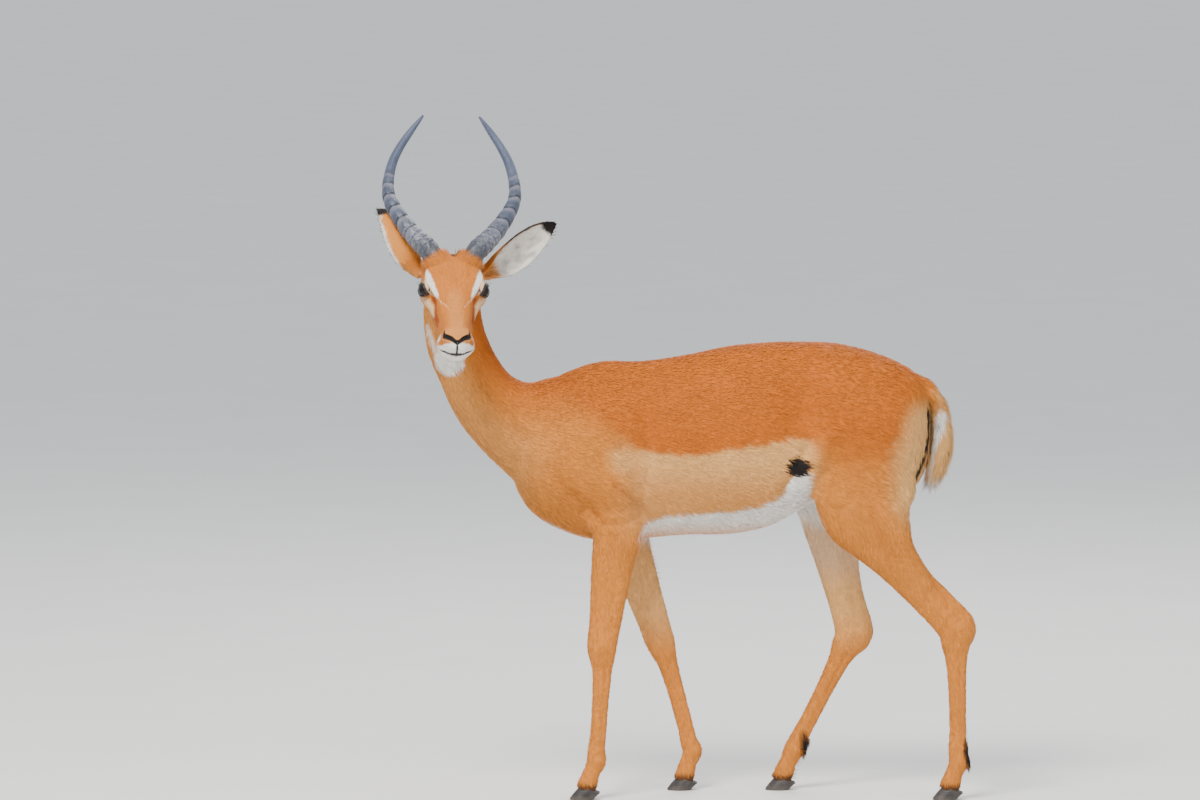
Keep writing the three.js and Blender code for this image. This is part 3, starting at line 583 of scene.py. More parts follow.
def shape_eyes(points):
    """Lays the lids over each eyeball, and sinks the skin behind it inside the opening."""
    head = to_head(points)
    for flank in (LEFT, RIGHT):
        centre = eye_frame(flank)[0]
        radius, _, across, span, ahead = lid_angles(head, flank)
        lid = EYE_RADIUS + 1.2 + 1.3 * smooth(1.0, 1.5, span) + 0.8 * smooth(0, 30, across)
        lid -= 7 * smooth(1.02, 0.84, span)
        share = smooth(2.3, 1.3, span) * ahead * (radius < 46)
        target = centre + unit(head - centre) * lid[:, None]
        head = head + share[:, None] * (target - head)
    return from_head(head)


def shape_nose(points, normals):
    """Hollows the nostrils with a raised wing, rounds the lips, and draws the cleft and the
    mouth in."""
    head = to_head(points)
    front = smooth(135, 160, head[:, 1])
    push = np.zeros(len(points))
    for flank in (LEFT, RIGHT):
        for place, reach, height in LIPS:
            gap = np.linalg.norm(head - mirrored(place, flank), axis=1)
            push += height * np.exp(-((gap / reach) ** 2)) * (1 if place[0] else 0.5)
        gap, along = to_path(head, mirrored(MOUTH, flank))
        push -= 2.0 * smooth(4.0, 0.8, gap) * (1 - 0.6 * along)
        gap, along = to_path(head, mirrored(NOSTRIL, flank))
        width, depth = (np.interp(along, *table) for table in (NOSTRIL_WIDTH, NOSTRIL_DEPTH))
        push -= depth * smooth(width, 0.3 * width, gap)
        push += 1.5 * np.exp(-(((gap - width - 2.4) / 2.2) ** 2)) * smooth(0.8, 0.5, along)
    gap, _ = to_path(head, PHILTRUM)
    push -= 1.5 * smooth(3.0, 0.4, gap)
    return points + (front * push)[:, None] * normals


HEAD_FOLDS = [  # path on the right side in the head's frame, width, height
    ([[40, 96, -16], [34, 130, -20], [27, 170, -16]], 8, 1.6),  # edge of the nose bridge
    ([[50, 104, -44], [40, 140, -52], [34, 170, -52]], 9, 2.0),  # cheek line
    ([[44, 92, -30], [40, 112, -34]], 6, -2.5),  # hollow before the eye
    ([[20, 20, 4], [24, 56, 3]], 9, 1.5),  # forehead ridge
    ([[0, 24, 4], [0, 62, 3]], 9, -1.4),  # dip between them
    ([[52, 60, -96], [44, 110, -88], [34, 150, -80]], 9, 2.6),  # lower jaw
    ([[56, 26, -70], [57, 50, -110]], 9, -1.8),  # behind the jaw
]
FLATTENED = np.array([1, 0.35, 1])  # depth into a side counts less in the distance to a fold
BODY_FOLDS = [  # path on the left side, width, height
    ([[-232, -92, 600], [-196, -110, 575], [-150, -110, 572], [-110, -106, 590]], 9, -3.6),
    ([[-168, -113, 654], [-139, -107, 627], [-109, -96, 601]], 7, -3.2),  # creases at the elbow
    ([[-130, -101, 610], [-104, -89, 590]], 6, -2.4),
    ([[-222, -96, 607], [-201, -94, 591]], 6, -2.4),
    ([[-300, -72, 690], [-262, -92, 640], [-225, -100, 612]], 12, -3.6),  # before the shoulder
    ([[-225, -84, 840], [-170, -108, 740], [-140, -112, 660]], 16, 3.4),  # shoulder blade ridge
    ([[-105, -100, 800], [-92, -112, 700], [-112, -106, 610]], 15, -3.8),  # behind the shoulder
    ([[182, -104, 640], [205, -112, 690], [232, -108, 740]], 13, -4.0),  # front of the thigh
    ([[222, -104, 640], [246, -110, 690], [280, -112, 760]], 13, 3.2),  # fold of the flank
    ([[345, -118, 640], [372, -112, 560], [412, -106, 500]], 13, -2.2),  # middle of the thigh
    ([[455, -96, 545], [480, -94, 480], [520, -90, 400]], 8, -4.2),  # before the great tendon
    ([[-430, -48, 850], [-400, -58, 800], [-350, -70, 740]], 12, -3.6),  # groove of the neck
    ([[-470, -44, 950], [-455, -46, 900], [-440, -48, 860]], 9, -2.8),
    ([[-478, -46, 1000], [-462, -48, 930], [-420, -56, 850]], 12, 2.4),  # muscle of the neck
]
LEG_FOLDS = [  # kind, joint, from share, to share, rearward, sideways, width, height
    ("fore", 2, 0.16, 0.86, 8, 13, 5, -2.0),  # between bone and tendon
    ("fore", 2, 0.02, 0.08, -14, 12, 9, 1.4),  # knee
    ("fore", 1, 0.55, 0.86, 10, 20, 7, -1.8),
    ("hind", 3, 0.14, 0.86, 8, 14, 5, -2.2),
    ("hind", 3, 0.0, 0.05, -8, 18, 10, 1.5),  # hock
    ("hind", 2, 0.66, 0.93, 12, 18, 8, -3.4),  # before the tendon
    ("fore", 3, 0.0, 0.05, 4, 16, 9, 1.6),  # fetlock
    ("hind", 4, 0.0, 0.05, 4, 16, 9, 1.6),
]


def folds(points, normals):
    """Raises or sinks the skin by height * exp(-(distance / width)^2) along named paths."""
    push = np.zeros(len(points))
    head = to_head(points)
    near_head = head_part(points) > 0.05
    for path, width, height in HEAD_FOLDS:
        for flank in (LEFT, RIGHT) if path[0][0] else (RIGHT,):
            gap, _ = to_path(head[near_head], mirrored(path, flank))
            push[near_head] += height * np.exp(-((gap / width) ** 2))
    for path, width, height in BODY_FOLDS:
        for flank in (LEFT, RIGHT):
            own_side = np.asarray(path, float) * [1, -flank, 1]
            gap, _ = to_path(points * FLATTENED, own_side * FLATTENED)
            push += height * np.exp(-((gap / width) ** 2)) * (1 - near_head)
    for kind, joint, start, end, rearward, sideways, width, height in LEG_FOLDS:
        for flank in (LEFT, RIGHT):
            joints = np.array(LEGS[kind, flank], float)
            a, b = joints[joint], joints[joint + 1]
            for side in (-1, 1):
                aside = np.array([rearward, side * sideways, 0])
                gap, _ = to_path(points, [a + (b - a) * start + aside, a + (b - a) * end + aside])
                push += height * np.exp(-((gap / width) ** 2))
    return points + push[:, None] * normals


def coat_depth(points):
    """How far the skin lies inside the coat's tips."""
    head = head_part(points)
    legs = smooth(560, 420, points[:, 2])
    depth = 2.6 * (1 - head) * (1 - legs) + 1.3 * legs + 0.9 * head
    return depth * (1 - 0.8 * ear_part(points))


def subdivided_near(mesh, points, centres, reach):
    """The mesh with the faces near the given places split in four."""
    near = np.zeros(len(points), bool)
    for centre in centres:
        near |= np.linalg.norm(points - centre, axis=1) < reach
    body = bmesh.new()
    body.from_mesh(mesh)
    edges = [e for e in body.edges if near[e.verts[0].index] and near[e.verts[1].index]]
    bmesh.ops.subdivide_edges(body, edges=edges, cuts=1, use_grid_fill=True)
    body.to_mesh(mesh)
    body.free()
    return mesh


def make_skin_mesh(voxel):
    """Joins the forms by voxels, softens where they meet, then lays lids, folds and nose."""
    shapes = [trunk_form(), loft(sweep(NECK, 130, 72)), head_form(), loft(sweep(TAIL, 64, 40))]
    shapes += [leg_form(kind, flank) for kind, flank in LEGS]
    shapes += [loft(ear_rings(flank)[0]) for flank in EARS]
    rough = bpy.data.objects.new("rough", fill_mesh("rough", *joined(shapes)))
    bpy.context.scene.collection.objects.link(rough)
    mesh = finished(rough, kind="REMESH", mode="VOXEL", voxel_size=voxel * MM)
    bpy.data.objects.remove(rough)
    points, edges = read_points(mesh), read_edges(mesh)
    head, legs, ears = head_part(points), smooth(560, 470, points[:, 2]), ear_part(points)
    points = relax(points, edges, 0.5 * (1 - head) * (1 - 0.75 * legs), 70)
    points = relax(points, edges, 0.5 * head * (1 - 0.7 * ears), 5)
    write_points(mesh, points)
    focus = [from_head(mirrored(EYE_PLACE, flank)) for flank in (LEFT, RIGHT)]
    focus += [from_head([0, 232, -30])]
    mesh = subdivided_near(mesh, points, focus, 34)
    points, edges = read_points(mesh), read_edges(mesh)
    near = np.min([np.linalg.norm(points - centre, axis=1) for centre in focus], 0) < 40
    points = relax(points, edges, 0.5 * near, 3)
    write_points(mesh, points)
    points = points - coat_depth(points)[:, None] * read_normals(mesh)
    write_points(mesh, points)
    points = folds(points, read_normals(mesh))
    points = relax(points, edges, 0.3, 2)
    write_points(mesh, points)
    points = shape_nose(shape_eyes(points), read_normals(mesh))
    write_points(mesh, points)
    return mesh

# ------------------------------------------------------------------ markings

RUFOUS_EDGE = [  # x, height of the lower edge of the rufous back
    [-400, 900], [-330, 845], [-270, 812], [-235, 795], [-196, 774], [-155, 746], [-113, 726],
    [-10, 718], [82, 733], [175, 744], [216, 748], [260, 730], [320, 700], [400, 712],
    [440, 800], [500, 860],
]
BELLY_EDGE = [  # x, height of the upper edge of the white belly
    [-160, 470], [-126, 520], [-114, 562], [-100, 578], [-57, 589], [31, 597], [119, 608],
    [162, 624], [182, 642], [192, 660], [206, 674], [240, 678], [262, 648], [300, 640], [500, 640],
]
# painted shadow: place and reach of a black spot in the shaded hollow of the flank before the thigh
FLANK_HOLLOW_SHADOW = np.array([207, 112, 691]), np.array([25, 46, 21])
BUTTOCK_STRIPE = [[474, 30, 800], [472, 34, 740], [464, 44, 690], [455, 48, 655], [446, 50, 628]]
TAIL_LINE = [[504, -20, 806], [499, -16, 778], [494, -15, 757], [490, -15, 727], [488, -14, 700],
             [484, -13, 672]]
THROAT_WHITE, THROAT_REACH = np.array([-509, -48, 910]), np.array([33, 60, 34])
NECK_STREAK = [[-553, -28, 975], [-545, -32, 952], [-539, -34, 934]]
BROW_STREAK = [[57, 36, -13], [51.5, 64, -6], [45, 84, -9.5], [38, 99, -14], [33, 112, -16]]
UNDER_EYE = [[60, 84, -45], [56, 95, -43], [50, 108, -45], [45, 124, -50]]
CHEEK_BAND = [[42, 107, -29], [43, 118, -38], [39, 133, -41], [36, 150, -43], [32, 168, -38]]
TEAR_LINE = [[52, 86, -17], [48, 92, -17.5], [43, 98, -19]]
# painted shadow: the line below the lower lip where the chin meets the throat in shade
LIP_CREASE_SHADOW = [[0, 230, -72], [16, 227, -70], [28, 214, -68]]
JAW_LINE = [[50, 118, -70], [42, 150, -66], [39, 182, -63]]
# painted shade: thin darker lines down the forehead's furrows beside its ridges
FOREHEAD_FURROW_SHADE = [[[32, 38, 2], [30, 52, 2], [28, 66, 0]], [[26, 36, 4], [25, 50, 3], [24, 62, 2]]]
LIP_EDGE = [[0, -16], [12, -16.5], [24, -23], [31, -35], [38, -48], [50, -60]]  # |x|, height


def edge_height(table, x):
    return columns(table, x)[:, 0]


def waver(points, size, seed):
    """A smooth irregular value from -1 to 1: five crossed sines with seeded directions."""
    rng = np.random.default_rng(seed)
    total = 0
    for way in rng.normal(size=(5, 3)):
        total = total + np.sin(points @ unit(way) / size * (0.7 + rng.random()) + rng.random() * 6)
    return total / 5


def neck_place(points):
    """How far along the neck from the chest, and where between throat at -1 and nape at 1."""
    rows = np.asarray(NECK, float)
    at = np.linspace(0, 1, 60)
    centre = line(rows[:, :3], at)
    depth = columns(np.stack([np.arange(len(rows), dtype=float), rows[:, 3]], 1),
                    at * (len(rows) - 1))[:, 0]
    nearest = ((points[:, None] - centre[None]) ** 2).sum(2).argmin(1)
    ahead = tangents(centre)
    nape = unit(np.cross(ahead, Y))
    nape *= np.sign(nape @ [1, 0, 0.6])[:, None]
    off = points - centre[nearest]
    return at[nearest], (off * nape[nearest]).sum(1) / (depth[nearest] / 2)


def body_marks(points, normals):
    """Amounts of tan, pale, white, black and deep red on the trunk, neck, legs and tail, as
    soft edges about the border heights and named paths. Deep red also paints shade in the
    creases and on the withers' top, black a painted shadow in the flank's hollow, and pale
    a painted highlight behind the elbow."""
    x, y, z = points.T
    sides = np.stack([x, np.abs(y), z], 1)
    legs = smooth(590, 520, z)
    ragged = 3.2 * waver(points, 8, 3) + 3.2 * waver(points, 28, 4)
    edge = edge_height(RUFOUS_EDGE, x)
    soft = 7 + 46 * smooth(-100, -230, x) + 62 * smooth(215, 300, x)
    tan = smooth(edge + soft, edge - soft, z + ragged)
    along, back = neck_place(points)
    neck = neck_part(points)
    neck_tan = 1 - 0.85 * smooth(-0.15, 0.85, back + 0.1 * waver(points, 22, 12))
    tan = tan * (1 - neck) + np.maximum(neck_tan, 0.25 * smooth(0.3, 0.8, along)) * neck
    pale = 0.30 * neck * smooth(0.35, -0.5, back)
    flank = smooth(-190, -95, x) * smooth(275, 215, x) * (1 - legs)
    pale = np.maximum(pale, tan * flank * (0.42 + 0.40 * smooth(620, 712, z)))
    # painted highlight: paler coat behind the elbow where the light falls brightest on the flank
    painted_elbow_highlight = np.linalg.norm((sides - [-150, 112, 706]) / [46, 60, 44], axis=1)
    pale = np.maximum(pale, 0.7 * smooth(1.1, 0.2, painted_elbow_highlight) * tan)
    # pale zone behind the thigh
    front = np.interp(z, [560, 640, 705, 804], [415, 405, 410, 440]) + 5 * waver(points, 16, 13)
    rear = smooth(-32, 34, x - front) * smooth(838, 792, z) * smooth(545, 625, z)
    pale = np.maximum(pale, 0.92 * rear)
    tan = np.maximum(tan, rear)
    # inner sides of the legs
    outside = np.sign(y) * normals[:, 1]
    inner = smooth(0.25, -0.4, outside) * smooth(270, 400, z) * smooth(640, 596, z)
    pale = np.maximum(pale, 0.85 * inner)
    fore_inner = inner * (x < 60) * smooth(505, 545, z)
    hind_inner = inner * (x > 60) * 0.25 * smooth(400, 520, z)
    belly = smooth(5, -5, z + ragged * 0.45 - edge_height(BELLY_EDGE, x)) * (1 - legs)
    belly *= 1 - smooth(222, 240, x) * smooth(52, 74, np.abs(y))
    chest = smooth(-0.35, -0.8, normals[:, 2]) * smooth(34, 14, np.abs(y)) * smooth(-330, -280, x)
    belly = np.maximum(belly, chest * (1 - legs) * (x < -90))
    white = np.maximum.reduce([belly, fore_inner, hind_inner])
    throat = np.linalg.norm((points - THROAT_WHITE) / THROAT_REACH, axis=1)
    white = np.maximum(white, smooth(1.08, 0.86, throat + 0.08 * waver(points, 7, 5)))
    gap, _ = to_path(points, NECK_STREAK)
    white = np.maximum(white, 0.7 * smooth(11, 5, gap + 1.5 * waver(points, 5, 15)))
    # tail: tawny outside, white edge and tip, and the black line down its front edge
    tail_rows = np.array(TAIL, float)
    gap, _ = to_path(points, tail_rows[:, :3])
    tail = (gap < 32) * smooth(486, 496, x) * smooth(866, 846, z)
    tail = np.maximum(tail, (gap < 20) * (z < 668) * (x > 470))
    line_gap, down = to_path(sides * [1, -1, 1], TAIL_LINE)
    streaks = waver(points * [1, 1, 0.12], 1.7, 16)
    white = np.maximum(white, tail * smooth(13, 8, line_gap + 1.5 * streaks))
    white = np.maximum(white, tail * smooth(684, 655, z + 6 * streaks))
    pale = np.maximum(pale, tail * np.clip(0.55 + 0.4 * streaks, 0, 1))
    tan = np.maximum(tan, tail)
    # black marks, the first a painted shadow: a black spot in the flank's shaded hollow before the thigh
    centre, reach = FLANK_HOLLOW_SHADOW
    patch = np.linalg.norm((sides - centre) / reach, axis=1)
    black = smooth(1.08, 0.94, patch + 0.03 * waver(points, 5, 17)) * smooth(668, 674, z)
    flat = [0.2, 1, 1]
    gap, _ = to_path(sides * flat, np.array(BUTTOCK_STRIPE, float) * flat)
    stripe = smooth(9.5, 6.0, gap + 0.6 * waver(points, 5, 6)) * (1 - tail) * (x > 420)
    black = np.maximum(black, stripe)
    black = np.maximum(black, tail * smooth(5.6 - 3.4 * smooth(0.1, 0.4, down), 1.0, line_gap))
    for flank in (LEFT, RIGHT):
        fetlock = np.array(LEGS["hind", flank][4], float)
        gland = np.linalg.norm((points - fetlock - [20, 0, 22]) / [13, 16, 34], axis=1)
        black = np.maximum(black, smooth(1.2, 0.8, gland))
        for kind in ("fore", "hind"):
            toe = np.array(LEGS[kind, flank][-1], float)
            black = np.maximum(black, 0.85 * smooth(38, 29, z) * (np.abs(points - toe)[:, 0] < 70))
    # painted shade: a darker red rim where the top of the withers faces up
    deep = 0.30 * smooth(0.86, 0.97, normals[:, 2]) * smooth(-330, -200, x) * (z > 850)
    deep = np.maximum(deep, 0.35 * smooth(0.5, 1.0, back) * neck)
    for path, width, height in BODY_FOLDS:  # painted shade: the coat is made darker down in each sunk crease
        if height < 0:
            gap, _ = to_path(sides * [1, -1, 1] * FLATTENED, np.asarray(path, float) * FLATTENED)
            amount = 0.50 if width < 8 else 0.20
            deep = np.maximum(deep, amount * np.exp(-((gap / width) ** 2)))
    return dict(tan=tan, pale=pale, white=white, black=black, deep=deep)


def face_marks(p):
    """The same amounts on the head without its ears, by places in the head's frame."""
    n = len(p)
    white, black, deep = np.zeros(n), np.zeros(n), 0.30 * np.ones(n)
    side = np.abs(p[:, 0])
    rough = 0.9 * waver(p, 3.5, 8)
    pale = 0.30 * smooth(190, 205, p[:, 1]) * smooth(-28, -14, p[:, 2])
    pale = np.maximum(pale, 0.20 * smooth(84, 120, p[:, 1]) * smooth(22, 9, side))
    pale = np.maximum(pale, 0.45 * smooth(-58, -90, p[:, 2]))
    for flank in (LEFT, RIGHT):
        def near(path):
            return to_path(p, mirrored(path, flank))
        gap, along = near(BROW_STREAK)
        width = 6.0 * np.sin(np.clip(0.16 + 0.80 * along, 0, 1) * np.pi) ** 0.55
        white = np.maximum(white, smooth(width + 1.6, width - 1.6, gap + rough)
                           * smooth(1.0, 0.93, along))
        _, _, across, span, ahead = lid_angles(p, flank)
        pale = np.maximum(pale, 0.85 * ahead * smooth(2.6, 1.7, span) * (across > -4))
        white = np.maximum(white, 0.35 * ahead * smooth(2.2, 1.5, span) * (across > 0))
        gap, along = near(UNDER_EYE)
        pale = np.maximum(pale, smooth(17, 4, gap + rough))
        white = np.maximum(white, 0.25 * smooth(13, 4, gap + rough))
        gap, along = near(CHEEK_BAND)
        deep = np.maximum(deep, smooth(15, 6, gap + 1.6 * rough) * smooth(1.0, 0.8, along))
        gap, _ = near(JAW_LINE)
        white = np.maximum(white, 0.7 * smooth(8, 4, gap + rough))
        # painted shade in the forehead's furrows
        for path in FOREHEAD_FURROW_SHADE:
            gap, along = near(path)
            deep = np.maximum(deep, 0.45 * smooth(2.6, 0.8, gap + 0.6 * rough))
        gap, along = near(NOSTRIL)
        width = np.interp(along, *NOSTRIL_WIDTH)
        black = np.maximum(black, smooth(width + 1.5, width + 0.3, gap))
        gap, along = near(MOUTH)
        thick = 4.4 - 6.0 * along
        black = np.maximum(black, 0.95 * smooth(thick + 0.8, thick - 0.6, gap)
                           * smooth(0.44, 0.26, along))
        # painted shadow below the lower lip
        gap, along = near(LIP_CREASE_SHADOW)
        black = np.maximum(black, 0.30 * smooth(4.5, 1.5, gap) * smooth(1.0, 0.6, along))
        gap, along = near(TEAR_LINE)
        black = np.maximum(black, smooth(4.2 - 2.4 * along, 1.6 - along, gap))
        black = np.maximum(black, smooth(1.34 + 0.08 * smooth(0, 25, across), 1.16, span) * ahead)
    gap, along = to_path(p, PHILTRUM)
    black = np.maximum(black, smooth(5.4 - 2.4 * smooth(0, 0.3, along), 1.6, gap)
                       * (p[:, 2] > -47))
    lip = smooth(2, -2, p[:, 2] - np.interp(side, *np.array(LIP_EDGE).T) + rough)
    white = np.maximum(white, lip * smooth(196, 210, p[:, 1] + 0.3 * side))
    chin = smooth(-57, -62, p[:, 2] + rough) * smooth(110, 140, p[:, 1])
    white = np.maximum(white, chin)
    white = np.maximum(white, smooth(-98, -112, p[:, 2]) * smooth(0, 60, p[:, 1]))
    crown = np.linalg.norm((p - [-1, 68, 3]) / [9, 24, 20], axis=1)
    deep = np.maximum(deep, 0.4 * smooth(1.3, 0.3, crown))
    deep = np.maximum(deep, 0.35 * smooth(60, 20, p[:, 1]) * smooth(44, 20, side) * (p[:, 2] > -30))
    spot = np.linalg.norm((p - [-1, 0, 2]) / [11, 8, 12], axis=1)
    black = np.maximum(black, 0.85 * smooth(1.1, 0.6, spot))
    return dict(tan=np.ones(n), pale=pale, white=white, black=black, deep=deep)


def ear_marks(points, flank):
    """The same amounts on one ear: pale inside with darker patches, white lower edge, black
    tip and upper edge, tawny behind."""
    _, centre, side, mouth, _ = ear_rings(flank)
    _, place = to_path(points, centre[::3])
    here = np.clip((place * (len(centre) - 1)).astype(int), 0, len(centre) - 1)
    off = points - centre[here]
    radius, _, wall = columns(EAR_BODY, place).T
    out = np.hypot(off @ side, off @ mouth)
    hollow = smooth(radius - 0.42 * wall, radius - 0.62 * wall, out) * smooth(0.13, 0.22, place)
    high = side if side[2] > 0 else -side
    upper = np.degrees(np.arctan2(off @ high, -(off @ mouth)))
    rim = columns(EAR_BODY, place)[:, 1]
    patches = smooth(0.05, 0.4, waver(points, 6.5, 18)) * smooth(0.95, 0.5, place)
    white = 0.95 * hollow
    white = np.maximum(white, 0.95 * smooth(-rim + 22, -rim + 8, upper) * smooth(0.1, 0.25, place))
    pale = np.maximum(hollow, 0.12)
    mark = np.abs(place - 0.68) / 0.12
    short = hollow * smooth(1, 0.7, mark) * smooth(4.5, 2.0, np.abs(off @ high + 14))
    tip_at = 0.83 if flank == LEFT else 0.80
    tip = smooth(tip_at, tip_at + 0.05, place + 0.015 * waver(points, 5, 9))
    edge = smooth(0.32, 0.5, place) * smooth(rim - 22, rim - 10, upper)
    black = np.maximum.reduce([tip, 0.92 * edge, 0.35 * short,
                               hollow * (0.10 + 0.30 * patches)])
    return dict(tan=np.ones(len(points)), pale=pale, white=white, black=black,
                deep=np.zeros(len(points)))


def markings(points, normals):
    """Body, face and ear marks, each on its own part with soft joins."""
    marks = body_marks(points, normals)
    head, ears = head_part(points), ear_part(points)
    local = to_head(points)
    chosen = head > 0.01
    for name, value in face_marks(local[chosen]).items():
        marks[name][chosen] += (value - marks[name][chosen]) * head[chosen]
    for flank in EARS:
        chosen = (ears > 0.01) & (local[:, 0] * flank > 0)
        for name, value in ear_marks(points[chosen], flank).items():
            marks[name][chosen] += (value - marks[name][chosen]) * ears[chosen]
    return marks


# ------------------------------------------------------------------ horns, eyes, hooves

HORN_RINGS = [0.09, 0.135, 0.185, 0.24, 0.32, 0.415, 0.51, 0.595, 0.66]
HORN_GROOVE_SHADE = [0.25, 0.3, 0.45, 0.8, 1.0, 1.0, 1.0, 0.75, 0.2]  # how dark the painted shade in the groove at each
HORN_RING_HEIGHT = 2.6
HORN_FLAT = 0.9
CLAW = dict(length=54, width=21, between=1.6, toe_rise=31, heel_rise=17, lean=17, balance=0.62,
            point=0.42, toe_slope=0.22, heel=0.84, outer=0.62, top_narrowing=0.1)
CORONET_SHARE = 0.75
GAP = 0.3


def horn_form(flank):
    """An oval tube along the horn's curve. Between two ring places its radius swells by a
    skewed arch, h * sin(pi t^0.6), more on the front than behind, and dips at each place."""
    rows = np.asarray(HORN_LINE, float)
    places = about_brow(rows[:, 0] * flank, rows[:, 1], rows[:, 2])
    at = np.concatenate([np.linspace(0, 0.7, 300), np.linspace(0.7, 1, 60)[1:]])
    centre = line(places, at)
    ahead = tangents(centre)
    index = np.arange(len(rows), dtype=float)
    radius = columns(np.stack([index, rows[:, 3]], 1), at * (len(rows) - 1))[:, 0]
    side = unit(HEAD_ACROSS - (ahead @ HEAD_ACROSS)[:, None] * ahead)
    up = unit(np.cross(side, ahead))
    rings = ovals(centre, side, up, radius * HORN_FLAT, radius, radius, 56)
    turn = np.arange(56) / 56 * 2 * np.pi
    spoke = rings - centre[:, None]
    front = unit(spoke) @ (-HEAD_LEVEL * 0.2 + HEAD_FORWARD * 0.6 + Z * 0.5)
    rng = np.random.default_rng(21 + flank)
    tilt = 0.007 * np.sin(turn + 0.8) + 0.004 * np.sin(3 * turn + flank)
    here = at[:, None] + tilt
    k = np.clip(np.searchsorted(HORN_RINGS, here) - 1, 0, len(HORN_RINGS) - 2)
    ring_at = np.array(HORN_RINGS)
    t = np.clip((here - ring_at[k]) / (ring_at[k + 1] - ring_at[k]), 0, 1)
    uneven = (0.75 + 0.5 * rng.random(len(HORN_RINGS)))[k]
    fade = smooth(0.69, 0.36, here) * 0.75 + 0.25
    inside = (here > HORN_RINGS[0]) & (here < HORN_RINGS[-1])
    arch = np.where(inside, np.sin(np.pi * t**0.6) ** 0.8 * uneven * fade, 0)
    arch *= smooth(0.69, 0.62, here)
    ridge = HORN_RING_HEIGHT * arch * (0.62 + 0.38 * np.clip(front, -1, 1))
    scruff = 0.5 * smooth(0.36, 0.2, here) * np.sin(5 * turn + 37 * at[:, None] * np.pi)
    flutes = 0.18 * np.sin(13 * turn + 9 * at[:, None]) * smooth(0.02, 0.1, at)[:, None]
    factor = 1 + (ridge + scruff + flutes * 1.2) / np.maximum(radius, 3)[:, None]
    rings = centre[:, None] + spoke * factor[..., None]
    points, faces = loft(rings)
    along = np.concatenate([np.repeat(at, 56), [0, 1]])
    strength = np.array(HORN_GROOVE_SHADE)
    # painted shade: how dark the groove beside each ring place turns in the material
    low = np.where(inside, smooth(0.11, 0.0, t) * strength[k], 0)
    high = np.where(inside, smooth(0.90, 1.0, t) * strength[k + 1], 0)
    crest = np.where(inside, smooth(0.45, 0.8, t) * smooth(0.97, 0.86, t), 0)
    groove = np.concatenate([np.maximum(low, high).ravel(), [0, 0]])
    crest = np.concatenate([crest.ravel(), [0, 0]])
    return points, faces, along, groove, crest


def eyeball_form(flank):
    """A sphere by latitude and longitude about its outward axis, where the clear front
    swells by 5 percent times exp(-(angle / 34 degrees)^2)."""
    centre, out, long, high = eye_frame(flank)
    angle = np.linspace(0.5, 179.5, 60)
    turn = np.arange(72) / 72 * 2 * np.pi
    size = EYE_RADIUS * (1 + 0.05 * np.exp(-((angle / 34) ** 2)))
    a = np.radians(angle)
    ring = (np.cos(turn)[:, None] * long + np.sin(turn)[:, None] * high)[None]
    rings = (size * np.cos(a))[:, None, None] * out + (size * np.sin(a))[:, None, None] * ring
    points, faces = loft(from_head(centre + rings))
    e = to_head(points) - centre
    along, across = np.arctan2(e @ long, e @ out), np.arctan2(e @ high, e @ out)
    iris = np.degrees(np.hypot(along, across))
    pupil = np.hypot(np.degrees(along) / 24, np.degrees(across) / 9)
    return points, faces, iris, pupil


def eyelid_form(flank):
    """The dark rim of the lids: a thin round tube along the opening's edge, on a sphere a
    little larger than the eyeball."""
    centre, out, long, high = eye_frame(flank)
    turn = np.linspace(0, 2 * np.pi, 121)[:-1]
    c, s = np.cos(turn), np.sin(turn)
    size = (np.abs(c) ** LID_POWER + np.abs(s) ** LID_POWER) ** (-1 / LID_POWER)
    along, across = np.radians(LID_LONG * c * size), np.radians(LID_HIGH * s * size)
    way = unit(out + np.tan(along * 0.999)[:, None] * long + np.tan(across)[:, None] * high)
    path = centre + way * (EYE_RADIUS + 1.5)
    ahead = unit(np.roll(path, -1, 0) - np.roll(path, 1, 0))
    outwards = way
    across_way = np.cross(ahead, outwards)
    roll = np.arange(12) / 12 * 2 * np.pi
    thick = 1.25 + 0.5 * np.maximum(s, 0)
    rings = (path[:, None] + (thick[:, None] * np.cos(roll))[..., None] * outwards[:, None]
             + (1.25 * thick[:, None] * np.sin(roll))[..., None] * across_way[:, None])
    n, count = len(path), 12
    a = (np.arange(n)[:, None] * count + np.arange(count)).ravel()
    b = (np.arange(n)[:, None] * count + (np.arange(count) + 1) % count).ravel()
    up = n * count
    faces = np.vstack([np.stack([a, b, (b + count) % up], 1),
                       np.stack([a, (b + count) % up, (a + count) % up], 1)])
    return outward(from_head(rings.reshape(-1, 3)), faces)


def coronet_slope():
    return math.atan2(CLAW["toe_rise"] - CLAW["heel_rise"], CLAW["length"] * CORONET_SHARE)


def claw_form(toe, flank):
    """One claw, as rings from the flat sole to the sloping coronet. A ring is pointed in
    front, round behind, full on its outer side and nearly straight on the inner one."""
    slope = coronet_slope()
    middle = (CLAW["toe_rise"] + CLAW["heel_rise"]) / 2
    rise = np.array([0, 0.015, 0.04, 0.08, 0.16, 0.28, 0.4, 0.52, 0.64, 0.76, 0.86, 0.94, 1.0])[:, None]
    spread = (1 - CLAW["top_narrowing"] * rise) * (1 - 0.05 * smooth(0.06, 0, rise))
    turn = (np.arange(44) / 44 * 2 * np.pi)[None]
    forward, outside = np.cos(turn), np.sin(turn)
    point = 1 - CLAW["point"] * np.maximum(forward, 0) ** 2.5
    inner = 1 - CLAW["outer"]
    full = np.where(outside > 0, CLAW["outer"], inner)
    reach = np.where(forward > 0, 1 - CLAW["toe_slope"] * rise, CLAW["heel"])
    length = CLAW["length"] / 2 * reach * spread
    x = toe[0] - forward * length + CLAW["lean"] * (rise - CLAW["balance"])
    across = CLAW["between"] / 2 + CLAW["width"] * (inner + full * outside * point * spread)
    top = middle - GAP - math.tan(slope) * (x - toe[0])
    rings = np.stack([x, toe[1] + flank * across, top * rise], 2)
    return loft(rings)


# ------------------------------------------------------------------ coat


